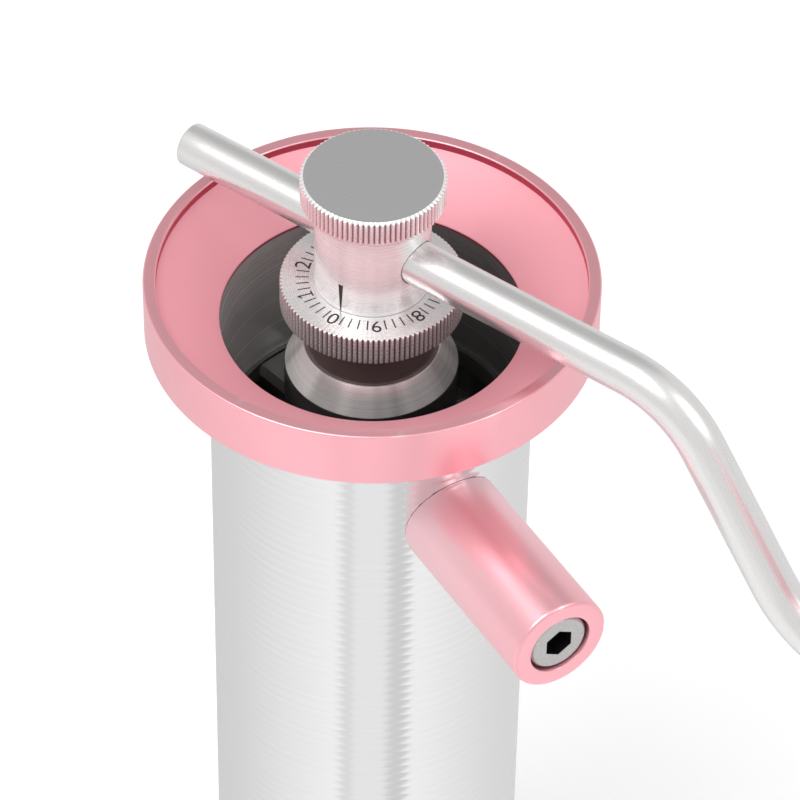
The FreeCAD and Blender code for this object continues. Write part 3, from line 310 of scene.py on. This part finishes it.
def brushed_face(name, colour):
    """The knob's flat face, brushed straight across."""
    made = Finish(name, colour, roughness=0.38, Anisotropic=0.4)
    way = math.radians(31.6)
    turn = made.node("VectorRotate", {"Vector": made.place(), "Angle": -way}, rotation_type="Z_AXIS")
    hairs = made.noise(made.stretched(turn.outputs[0], (0.16, 5.0, 1.0)), 1.4, 5.0)
    made.vary(hairs, 0.07, 0.26)
    made.bump(hairs, 0.008, 0.45)
    along = made.node("VectorTransform", {0: (math.cos(way), math.sin(way), 0)}, vector_type="VECTOR",
                      convert_from="OBJECT", convert_to="WORLD")
    made.set(made.surface, "Tangent", along.outputs[0])
    return made.material


def drawn_rod(name, colour, roughness):
    """Round bar, polished along its length."""
    made = Finish(name, colour, metallic=0.85, roughness=roughness)
    along = made.stretched(made.attribute("grain"), (0.03, 4.0, 4.0))
    hairs = made.noise(along, 1.5, 4.0)
    made.vary(hairs, 0.05, 0.07)
    made.bump(hairs, 0.006, 0.35)
    return made.material


def polished(name, colour, roughness, metallic, side_shade_amount=0.0):
    """Polished steel; side_shade_amount is how much painted shade darkens all of it but the side that faces away
    from shaded_way, which stays light as a painted sheen.
    """
    made = Finish(name, colour, metallic=metallic, roughness=roughness)
    place = made.place()
    tint = made.vary(made.noise(made.turned(place), 2.5, 4.0), 0.03, 0.12)
    if side_shade_amount:
        # Painted shade darkens the side that faces one way; the opposite side is left light as a painted sheen.
        shaded_way = (0.52, 0.85, 0)
        way = made.node("VectorMath", {0: made.stretched(place, (1, 1, 0))}, operation="NORMALIZE").outputs[0]
        side = made.node("VectorMath", {0: way, 1: shaded_way}, operation="DOT_PRODUCT").outputs["Value"]
        drift = made.math("ADD", side, made.math("MULTIPLY", made.noise(way, 2.2, 2.0), 0.8))
        side_shade = made.ranged(drift, -0.45, 0.35, 0.0, side_shade_amount)
        side_shaded = made.blend(side_shade, tint, (*(channel * 0.25 for channel in colour), 1.0))
        made.set(made.surface, "Base Color", side_shaded)
    made.bump(made.noise(made.turned(place), 4.0), 0.004, 0.4)
    return made.material


def engraving(name):
    """Black filler in an engraved line."""
    made = Finish(name, (0.012, 0.011, 0.012), metallic=0.0, roughness=0.5)
    made.vary(made.noise(made.place(), 6.0), 0.08, 0.4)
    return made.material


def socket_steel(name, colour):
    """A speckled screw head along +X whose hex socket is painted dark as shade."""
    made = Finish(name, colour, metallic=0.9, roughness=0.42)
    place = made.place()
    tint = made.vary(made.noise(place, 2.6, 5.0), 0.10, 0.30)
    low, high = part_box("handle_screw")
    middle = (0, (low.y + high.y) / 2 / MM, (low.z + high.z) / 2 / MM)
    # Painted shade: the inside of the hex socket is coloured near black.
    around = made.node("VectorMath", {0: place, 1: middle}, operation="SUBTRACT").outputs[0]
    flat = made.stretched(around, (0, 1, 1))
    near = made.math("LESS_THAN", made.node("VectorMath", {0: flat}, operation="LENGTH").outputs["Value"], 3.6)
    shaded_deep = made.math("LESS_THAN", made.node("SeparateXYZ", {0: place}).outputs[0], high.x / MM - 0.05)
    shaded_socket = made.math("MULTIPLY", near, shaded_deep)
    made.set(made.surface, "Base Color", made.blend(shaded_socket, tint, (0.035, 0.034, 0.033, 1.0)))
    made.bump(made.noise(place, 5.0, 5.0), 0.020, 0.5)
    return made.material


def machined(name, colour, roughness):
    """Inner pieces: machined metal with mottled oil and oxide."""
    made = Finish(name, colour, roughness=roughness)
    place = made.place()
    tint = made.vary(made.noise(place, 1.2, 5.0), 0.08, 0.22)
    # Pale edges: wear together with a painted highlight.
    made.worn_and_highlit_edges(tint, (0.85, 0.85, 0.84), 0.5)
    made.bump(made.noise(place, 6.0), 0.010, 0.3)
    return made.material


PINK = anodised("pink_anodised", (1.0, 0.485, 0.54))
PINK_SLOPE = anodised("pink_slope", (0.96, 0.42, 0.48), 0.30, 0.55, 0)
# A darker red copy of the pink anodising: painted shade and dark reflection on the inner step.
SHADED_PINK_STEP = anodised("pink_step_shaded", (0.60, 0.09, 0.15), 0.70, 0.40, 0)
GROOVED = turned_steel("grooved_steel", (0.80, 0.80, 0.80), 0.15, depth=0.003, grain=0.2).material
# The hopper's inside gets painted shade, with a painted sheen on one side.
HOPPER = polished("hopper_polish", (1.0, 0.985, 0.97), 0.26, 0.45, 0.95)
TURNED = turned_steel("turned_steel", (0.80, 0.78, 0.77), 0.27).material
# The hub and the cone get painted reflection streaks.
HUB = turned_steel("hub_steel", (0.92, 0.90, 0.895), 0.27, 12.0, 0.0015, metallic=0.4, painted_streaks=0.16).material
CONE = turned_steel("cone_steel", (1.0, 0.98, 0.965), 0.30, metallic=0.55, painted_streaks=0.5).material
# Steel darkened for the sleeve under the dial: painted shade from the dial above it.
SHADED_NECK = polished("dark_neck", (0.20, 0.145, 0.14), 0.32, 0.5)
# Steel darkened to near black: painted shade for the bridge deep inside the hopper.
SHADED_BRIDGE = polished("bridge_shaded_steel", (0.13, 0.125, 0.12), 0.25, 0.8)
KNOB_FACE = brushed_face("brushed_face", (0.80, 0.80, 0.80))
ROD = drawn_rod("polished_rod", (0.80, 0.79, 0.785), 0.29)
MARKS = engraving("engraved_black")
NODE_FINISHES = {
    "bearing_bridge": SHADED_BRIDGE,
    "hub": HUB,
    "handle_screw": socket_steel("socket_steel", (0.60, 0.59, 0.58)),
}
INNER_FINISHES = {
    "bearing_steel": machined("bearing_steel", (0.66, 0.67, 0.69), 0.14),
    "burr_steel": machined("burr_steel", (0.24, 0.235, 0.23), 0.34),
    "brass": machined("brass", (0.70, 0.50, 0.20), 0.28),
    "spring_steel": machined("spring_steel", (0.34, 0.34, 0.36), 0.30),
    "magnet": machined("magnet", (0.62, 0.62, 0.64), 0.18),
    "turned_steel": TURNED,
    "dark_neck": SHADED_NECK,
}


def dress(piece, finish, body, slot_name, *nodes):
    """Give a piece its finish and its body, and hide the nodes that it stands for; its slot name is not used."""
    piece.data.materials.append(finish)
    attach(piece, body)
    if nodes:
        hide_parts(*nodes)
    return piece


def dress_nodes():
    """CAD nodes that stay as they are get the finish of their slot."""
    for row in frame["record"]["subparts"]:
        node = frame["nodes"][row["node"]]
        node.data.materials.clear()
        finish = NODE_FINISHES.get(row["node"]) or INNER_FINISHES.get(row["material_slot"], TURNED)
        node.data.materials.append(finish)


def second_finish(piece, finish, chosen):
    """Give the faces whose middle passes a test another finish."""
    piece.data.materials.append(finish)
    for face in piece.data.polygons:
        if chosen(face.center / MM, face.normal):
            face.material_index = len(piece.data.materials) - 1


# ---------------------------------------------------------------- housing

def make_collar():
    outline = rounded([
        (40.2, RIM - 11.1, 0.3), (40.2, RIM, 0.35), (37.9, RIM, 0.3), (37.9, RIM - 1.6, 0.15),
        (HOPPER_RADIUS, RIM - 9.05, 0.35), (HOPPER_RADIUS, RIM - 9.6), (BODY_RADIUS, RIM - 9.6),
        (BODY_RADIUS, RIM - 11.1)])
    collar = dress(lathe("collar_ring", outline, 256), PINK, "housing", "pink", "collar")

    def on_slope(at, normal):
        return 0.2 < normal.z < 0.97 and at.z < RIM - 1.6

    def on_step(at, normal):
        return abs(normal.z) < 0.15 and at.xy.length < 38.5 and at.z < RIM - 0.3

    second_finish(collar, PINK_SLOPE, on_slope)
    second_finish(collar, SHADED_PINK_STEP, on_step)


def make_tube():
    top = RIM - 13.0
    count = int((top - CUP_TOP - 1.0) / 2.0) + 1
    outline = [(BODY_RADIUS, CUP_TOP)] + grooved(BODY_RADIUS, top, count) + [
        (BODY_RADIUS, RIM - 9.6), (HOPPER_RADIUS, RIM - 9.6), (HOPPER_RADIUS, RIM - 45.0),
        (25.3, RIM - 45.0), (25.3, RIM - 64.0), (22.0, RIM - 71.0), (22.0, RIM - 72.0), (24.0, RIM - 72.0),
        (24.0, RIM - 94.0), (24.6, RIM - 94.0), (24.6, CUP_TOP - 12.0), (27.2, CUP_TOP - 12.0),
        (27.2, CUP_TOP)]
    tube = lathe("tube_shell", outline, 224)
    dress(tube, GROOVED, "housing", "grooved_steel", "body_tube")
    second_finish(tube, HOPPER, lambda at, _: at.xy.length < 27.0 and at.z > RIM - 72.5)


def make_cup():
    outline = [(0, 0)] + rounded([(0, 0), (BODY_RADIUS, 0, 0.6), (BODY_RADIUS, 4)])[1:-1]
    count = int((CUP_TOP - 2.9 - 2.0) / 2.0) + 1
    outline += grooved(BODY_RADIUS, CUP_TOP - 2.9, count)
    outline += [(BODY_RADIUS, CUP_TOP - 0.3), (BODY_RADIUS - 0.2, CUP_TOP - 0.1), (27.3, CUP_TOP - 0.1),
                (27.3, CUP_TOP - 12.3), (25.2, CUP_TOP - 12.3)]
    outline += rounded([(25.2, 20), (25.2, 3, 3.0), (0, 3)])[1:-1] + [(0, 3)]
    dress(lathe("cup_shell", outline, 224), GROOVED, "cup", "grooved_steel", "catch_cup")


def make_cone():
    outline = rounded([
        (15.5, RIM - 19.8, 0.12), (12.3, RIM - 15.0, 0.1), (12.0, RIM - 15.0), (12.0, RIM - 19.6),
        (10.9, RIM - 19.6), (10.9, RIM - 21.0), (12.0, RIM - 21.0), (12.0, RIM - 19.8)])
    dress(lathe("cone_ring", outline), CONE, "housing", "turned_steel", "cone_cap")


def make_side_handle():
    """Turned about its own Z, then laid along +X; its inner end follows the body's curve."""
    radius, start, gap = 9.22, 26.0, 0.06

    def placed(r, height, angle):
        if height > start:
            return r, height
        return r, math.sqrt((BODY_RADIUS + gap) ** 2 - (r * math.sin(angle)) ** 2)

    outline = rounded([
        (radius, start), (radius, 63.8, 0.7), (5.95, 63.8, 0.2), (5.95, 57.4), (3.2, 57.4), (3.2, 40.4),
        (5.05, 40.4), (5.05, start)])
    handle = lathe("handle_grip", outline, 160, placed)
    axis_height = (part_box("side_handle")[0].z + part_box("side_handle")[1].z) / 2
    # Own Z becomes +X, own Y stays, own X points down.
    lay = Matrix(((0, 0, 1, 0), (0, 1, 0, 0), (-1, 0, 0, axis_height), (0, 0, 0, 1)))
    handle.data.transform(lay)
    dress(handle, PINK, "housing", "pink", "side_handle")


# ---------------------------------------------------------------- dial, knob and rod

def make_dial():
    radius, depth, teeth = 16.28, 0.42, 108
    outline = rounded([
        (radius, RIM - 5.7, 0.35), (radius, RIM - 0.2, 0.35), (7.0, RIM - 0.2), (7.0, RIM - 5.7)])
    dial = lathe("dial_ring", outline, teeth * 8, knurl(radius, depth, teeth, 0.38))
    # The last colour is the painted shade in the knurl grooves.
    finish = knurled_steel("dial_steel", (0.86, 0.82, 0.82), radius, depth, (0.085, 0.045, 0.048),
                           RIM - 5.8, RIM - 0.3)
    dress(dial, finish, "dial", "turned_steel", "dial")


def make_clamp_knob():
    radius, depth, teeth = 12.73, 0.40, 84
    outline = [(0, RIM + 21.5), (0, RIM + 23.6)]
    outline += rounded([
        (3.0, RIM + 23.6), (12.12, RIM + 23.6, 0.1), (radius, RIM + 23.15, 0.12), (radius, RIM + 18.9, 0.12),
        (12.05, RIM + 18.9), (12.05, RIM + 17.8, 0.3), (3.0, RIM + 17.8), (3.0, RIM + 21.5)])
    knob = lathe("knob_cap", outline, teeth * 8, knurl(radius, depth, teeth, 0.38, RIM + 18.85))
    # The last colour is the painted shade in the knurl grooves, tinted pink.
    finish = knurled_steel("knob_steel", (0.92, 0.91, 0.91), radius, depth, (0.40, 0.17, 0.20),
                           RIM + 18.95, RIM + 23.1)
    dress(knob, finish, "clamp", "turned_steel", "clamp_knob")
    second_finish(knob, KNOB_FACE, lambda at, normal: at.z > RIM + 23.5 and normal.z > 0.9999)


def numeral(text):
    """A numeral as a flat, slightly raised mesh, centred, 2.8 mm tall."""
    curve = bpy.data.curves.new("numeral", "FONT")
    curve.body = text
    curve.resolution_u = 4
    curve.extrude = 0.02
    stand_in = bpy.data.objects.new("numeral", curve)
    mesh = bpy.data.meshes.new_from_object(stand_in)
    bpy.data.objects.remove(stand_in)
    low = Vector(min(v.co[i] for v in mesh.vertices) for i in range(3))
    high = Vector(max(v.co[i] for v in mesh.vertices) for i in range(3))
    scale = 2.8 / (high.y - low.y)
    flat = Matrix.Diagonal((scale, scale, 0.35, 1)) @ Matrix.Translation(-(low + high) / 2)
    mesh.transform(flat)
    return mesh


def figure_one():
    """The numeral 1, with a flag and a foot so that it isn't taken for a tick."""
    shape = bmesh.new()
    strokes = (((0, 0), (0.30, 2.8), 0), ((0, -1.27), (1.4, 0.26), 0), ((-0.33, 1.0), (0.9, 0.26), 38))
    for middle, size, tilt in strokes:
        spot = Matrix.Translation((*middle, 0)) @ Matrix.Rotation(math.radians(tilt), 4, "Z")
        bmesh.ops.create_cube(shape, size=1.0, matrix=spot @ Matrix.Diagonal((*size, 0.014, 1)))
    mesh = bpy.data.meshes.new("one")
    shape.to_mesh(mesh)
    shape.free()
    return mesh


def make_dial_marks():
    """Fifty divisions: a numeral at every fifth, ticks at the rest, read clockwise from the index mark."""
    division = 7.2
    shape = bmesh.new()
    for index in range(50):
        angle = math.radians(INDEX_ANGLE - division * index)
        outward = Vector((math.cos(angle), math.sin(angle), 0))
        across = Vector((outward.y, -outward.x, 0))
        spot = Matrix((across, outward, (0, 0, 1))).transposed().to_4x4()
        if index % 5 == 0:
            mesh = numeral(str(index // 5)) if index != 5 else figure_one()
            spot.translation = outward * 12.6
            mesh.transform(spot)
        else:
            tick = bmesh.new()
            bmesh.ops.create_cube(tick, size=1.0, matrix=Matrix.Diagonal((0.25, 2.3, 0.014, 1)))
            spot.translation = outward * 12.3
            tick.transform(spot)
            mesh = bpy.data.meshes.new("tick")
            tick.to_mesh(mesh)
            tick.free()
        shape.from_mesh(mesh)
        bpy.data.meshes.remove(mesh)
    for vertex in shape.verts:
        vertex.co = (vertex.co + Vector((0, 0, RIM - 0.2))) * MM
    dress(finished_mesh("dial_marks", shape), MARKS, "dial", "turned_steel")


def make_index_mark():
    """Black filler in the wedge engraved on the hub, which points at the dial."""
    shape = bmesh.new()
    inner, outer = 10.05, 10.16
    corners = [(-0.46, RIM + 5.86), (0.46, RIM + 5.86), (0.11, RIM - 0.02), (-0.11, RIM - 0.02)]
    rings = [[shape.verts.new((r * MM, y * MM, z * MM)) for y, z in corners] for r in (inner, outer)]
    for index in range(4):
        after = (index + 1) % 4
        shape.faces.new((rings[0][index], rings[0][after], rings[1][after], rings[1][index]))
    shape.faces.new(rings[0])
    shape.faces.new(rings[1])
    shape.transform(Matrix.Rotation(math.radians(INDEX_ANGLE), 4, "Z"))
    dress(finished_mesh("index_mark", shape), MARKS, "crank", "turned_steel")


def rod_stations():
    """Places along the rod's centre line: distance out, height and slope."""
    height, drop = RIM + 8.96, math.radians(54.6)
    run, tail, tip = 49.4, -41.0, KNOB_DISTANCE + 5.0
    first = Vector((64.4, height))
    second = first + Vector((math.cos(drop), -math.sin(drop))) * run
    steps = 24
    stations = [(tail + (first.x - tail) * i / 20, height, 0.0) for i in range(16)]
    for corner, radius, start, stop in ((first, 19.7, 0.0, drop), (second, 22.4, drop, 0.0)):
        reach = radius * math.tan(drop / 2)
        side = 1 if stop > start else -1
        into = corner - Vector((math.cos(start), -math.sin(start))) * reach
        centre = into + Vector((-math.sin(start), -math.cos(start))) * radius * side
        for i in range(steps + 1):
            slope = start + (stop - start) * i / steps
            point = centre - Vector((-math.sin(slope), -math.cos(slope))) * radius * side
            stations.append((point.x, point.y, slope))
    flat_start = KNOB_DISTANCE - 6.0
    stations += [(x, second.y, 0.0) for x in (110.0, 120.0, 130.0, flat_start, flat_start, 142.0, tip)]
    return stations, flat_start


def make_rod():
    """The bent rod, with rounded ends and a flat for the hand knob's washer."""
    radius, edge, sides = 4.0, 0.6, 64
    stations, flat_start = rod_stations()
    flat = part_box("knob_washer")[0].z / MM

    def end_ring(station, step, way):
        """One ring of a rounded end, from 0 where the rounding starts to 4 at the flat tip."""
        turn = math.pi / 2 * step / 4
        along = station[0] + way * edge * (1 - math.sin(turn))
        return (along, *station[1:], radius - edge * (1 - math.cos(turn)))

    rings = [end_ring(stations[0], step, 1) for step in (4, 3, 2, 1, 0)]
    rings += [(*station, radius) for station in stations[1:-1]]
    rings += [end_ring(stations[-1], step, -1) for step in range(5)]
    shape = bmesh.new()
    grain = shape.verts.layers.float_vector.new("grain")
    loops = []
    length, clamped, before = 0.0, False, None
    for x, z, slope, r in rings:
        clamped = clamped or (before is not None and before == (x, z) and x >= flat_start - 1e-6)
        if before is not None:
            length += math.dist(before, (x, z))
        before = (x, z)
        loop = []
        for side in range(sides):
            angle = 2 * math.pi * side / sides
            up, across = r * math.cos(angle), r * math.sin(angle)
            point = Vector((x + up * math.sin(slope), across, z + up * math.cos(slope)))
            if clamped:
                point.z = min(point.z, flat)
            vertex = shape.verts.new(point * MM)
            vertex[grain] = (length, up, across)
            loop.append(vertex)
        loops.append(loop)
    for one, two in zip(loops, loops[1:]):
        for side in range(sides):
            after = (side + 1) % sides
            shape.faces.new((one[side], one[after], two[after], two[side]))
    shape.faces.new(loops[0])
    shape.faces.new(loops[-1])
    shape.transform(Matrix.Rotation(CRANK_ANGLE, 4, "Z"))
    dress(finished_mesh("crank_rod", shape), ROD, "arm", "polished_rod", "crank_arm")


def make_hand_knob():
    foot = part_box("hand_knob")[0].z / MM
    outline = rounded([(4.5, foot), (9.5, foot, 0.3), (10.7, foot + 2.5)])[:-1]
    outline += [(10.7, foot + 2.5)] + arc((10.7, foot + 2.5), (16.0, foot + 27.0), -38.0)
    outline += [(16.0, foot + 27.0)] + arc((16.0, foot + 27.0), (13.2, foot + 41.0), -34.0)
    outline += [(13.2, foot + 41.0)] + arc((13.2, foot + 41.0), (9.5, foot + 44.5), -4.6)
    outline += [(9.5, foot + 44.5)]
    outline += rounded([(9.5, foot + 44.5), (5.3, foot + 44.5, 0.25), (5.3, foot + 39.5)])[1:-1]
    outline += [(5.3, foot + 39.5), (4.5, foot + 39.5)]
    knob = lathe("crank_knob", outline, 160)
    knob.location = Vector((math.cos(CRANK_ANGLE), math.sin(CRANK_ANGLE), 0)) * KNOB_DISTANCE * MM
    bpy.context.view_layer.update()
    dress(knob, PINK, "grip", "pink", "hand_knob")


# ---------------------------------------------------------------- studio

def make_floor():
    finish = Finish("floor", (0.95, 0.95, 0.95), metallic=0.0, roughness=0.9, Emission_Strength=0.14)
    finish.set(finish.surface, "Emission Color", (1.0, 1.0, 1.0, 1.0))
    shape = bmesh.new()
    bmesh.ops.create_circle(shape, cap_ends=True, segments=96, radius=6.0)
    floor = finished_mesh("floor", shape)
    floor.location.z = -0.0002
    floor.data.materials.append(finish.material)


def make_reflection_card():
    """A floor card that only reflections see: it grades the body from a bright front to greyer edges.

    Each line of it is what one upright line of the body reflects towards the camera.
    """
    shades = ((-1.0, 0.63), (-0.55, 0.86), (-0.20, 0.99), (-0.175, 0.76), (-0.125, 0.76), (-0.10, 0.88),
              (0.11, 0.88), (0.14, 0.66), (0.23, 0.66), (0.26, 0.99), (0.6, 0.85), (1.0, 0.68))
    finish = Finish("card", (0.0, 0.0, 0.0), metallic=0.0, roughness=1.0, Emission_Strength=1.12)
    across = finish.node("Attribute", {}, attribute_name="across").outputs["Fac"]
    ramp = finish.node("ValToRGB", {"Fac": finish.ranged(across, -1.0, 1.0, 0.0, 1.0)})
    stops = ramp.color_ramp.elements
    while len(stops) < len(shades):
        stops.new(0.5)
    for stop, (place, shade) in zip(stops, shades):
        stop.position = (place + 1) / 2
        stop.color = (shade, shade, shade, 1)
    finish.set(finish.surface, "Emission Color", ramp.outputs["Color"])
    shape = bmesh.new()
    layer = shape.verts.layers.float.new("across")
    lines, start, reach, steps = [], (BODY_RADIUS + 0.3) * MM, 1.2, 96
    for step in range(steps + 1):
        turn = math.radians(-89 + 178 * step / steps)
        near = Vector((math.cos(turn), math.sin(turn), 0)) * start
        far = near + Vector((math.cos(2 * turn), math.sin(2 * turn), 0)) * reach
        line = [shape.verts.new(near), shape.verts.new(far)]
        for vertex in line:
            vertex[layer] = math.sin(turn)
        lines.append(line)
    for one, two in zip(lines, lines[1:]):
        shape.faces.new((one[0], one[1], two[1], two[0]))
    facing = Matrix.Rotation(math.radians(CAMERA_AZIMUTH - 90), 4, "Z")
    shape.transform(Matrix.Translation((0, 0, 0.0004)) @ facing)
    card = finished_mesh("reflection_card", shape)
    card.data.materials.append(finish.material)
    card.visible_camera = False
    card.visible_shadow = False
    card.visible_diffuse = False


def make_world():
    """A pale surround with a soft grey card behind the object, which the flat tops reflect."""
    world = bpy.data.worlds.new("studio")
    bpy.context.scene.world = world
    world.use_nodes = True
    tree = world.node_tree
    background = tree.nodes["Background"]
    way = tree.nodes.new("ShaderNodeTexCoord").outputs["Generated"]
    azimuth, elevation = math.radians(CAMERA_AZIMUTH), math.radians(44)
    flat = math.cos(elevation)
    card = (-math.sin(azimuth) * flat, math.cos(azimuth) * flat, math.sin(elevation))
    dot = tree.nodes.new("ShaderNodeVectorMath")
    dot.operation = "DOT_PRODUCT"
    tree.links.new(way, dot.inputs[0])
    dot.inputs[1].default_value = card
    ramp = tree.nodes.new("ShaderNodeMapRange")
    ramp.interpolation_type = "SMOOTHSTEP"
    tree.links.new(dot.outputs["Value"], ramp.inputs["Value"])
    for socket, value in (("From Min", 0.80), ("From Max", 0.97), ("To Min", 1.0), ("To Max", 0.58)):
        ramp.inputs[socket].default_value = value
    seen = tree.nodes.new("ShaderNodeLightPath").outputs["Is Camera Ray"]
    level = tree.nodes.new("ShaderNodeMix")
    tree.links.new(seen, level.inputs[0])
    tree.links.new(ramp.outputs[0], level.inputs[2])
    level.inputs[3].default_value = 1.25
    tree.links.new(level.outputs[0], background.inputs["Color"])
    background.inputs["Strength"].default_value = 0.80


def area_light(name, azimuth, elevation, distance, size, power):
    lamp = bpy.data.lights.new(name, "AREA")
    lamp.shape = "DISK"
    lamp.size = size
    lamp.energy = power
    made = new_object(name, lamp)
    a, e = math.radians(azimuth), math.radians(elevation)
    out = Vector((math.sin(a) * math.cos(e), -math.cos(a) * math.cos(e), math.sin(e)))
    made.location = Vector((0, 0, 0.12)) + out * distance
    made.rotation_euler = out.to_track_quat("Z", "Y").to_euler()


def make_camera():
    """The photograph's view: from 44 degrees above, with a long lens and a very slight roll."""
    camera = bpy.data.cameras.new("camera")
    camera.lens = 212.5
    camera.sensor_width = 36.0
    camera.clip_start, camera.clip_end = 0.05, 50.0
    distance, roll = 0.8471, math.radians(0.967)
    azimuth, elevation = math.radians(CAMERA_AZIMUTH), math.radians(CAMERA_ELEVATION)
    aside = Vector((math.cos(azimuth), math.sin(azimuth), 0))
    target = aside * 0.0052 + Vector((0, 0, (RIM - 29.92) * MM))
    back = Vector((math.sin(azimuth) * math.cos(elevation), -math.cos(azimuth) * math.cos(elevation),
                   math.sin(elevation)))
    up = back.cross(aside)
    right = aside * math.cos(roll) + up * math.sin(roll)
    above = up * math.cos(roll) - aside * math.sin(roll)
    made = new_object("camera", camera)
    turn = Matrix((right, above, back)).transposed().to_4x4()
    made.matrix_world = Matrix.Translation(target + back * distance) @ turn
    bpy.context.scene.camera = made


bpy.context.scene.view_settings.view_transform = "Standard"
make_camera()
make_world()
make_floor()
make_reflection_card()
area_light("key", CAMERA_AZIMUTH - 50, 62, 0.9, 0.6, 3.2)
area_light("fill", CAMERA_AZIMUTH + 65, 45, 1.1, 0.7, 1.8)

dress_nodes()
make_collar()
make_tube()
make_cup()
make_cone()
make_side_handle()
make_dial()
make_dial_marks()
make_index_mark()
make_clamp_knob()
make_rod()
make_hand_knob()
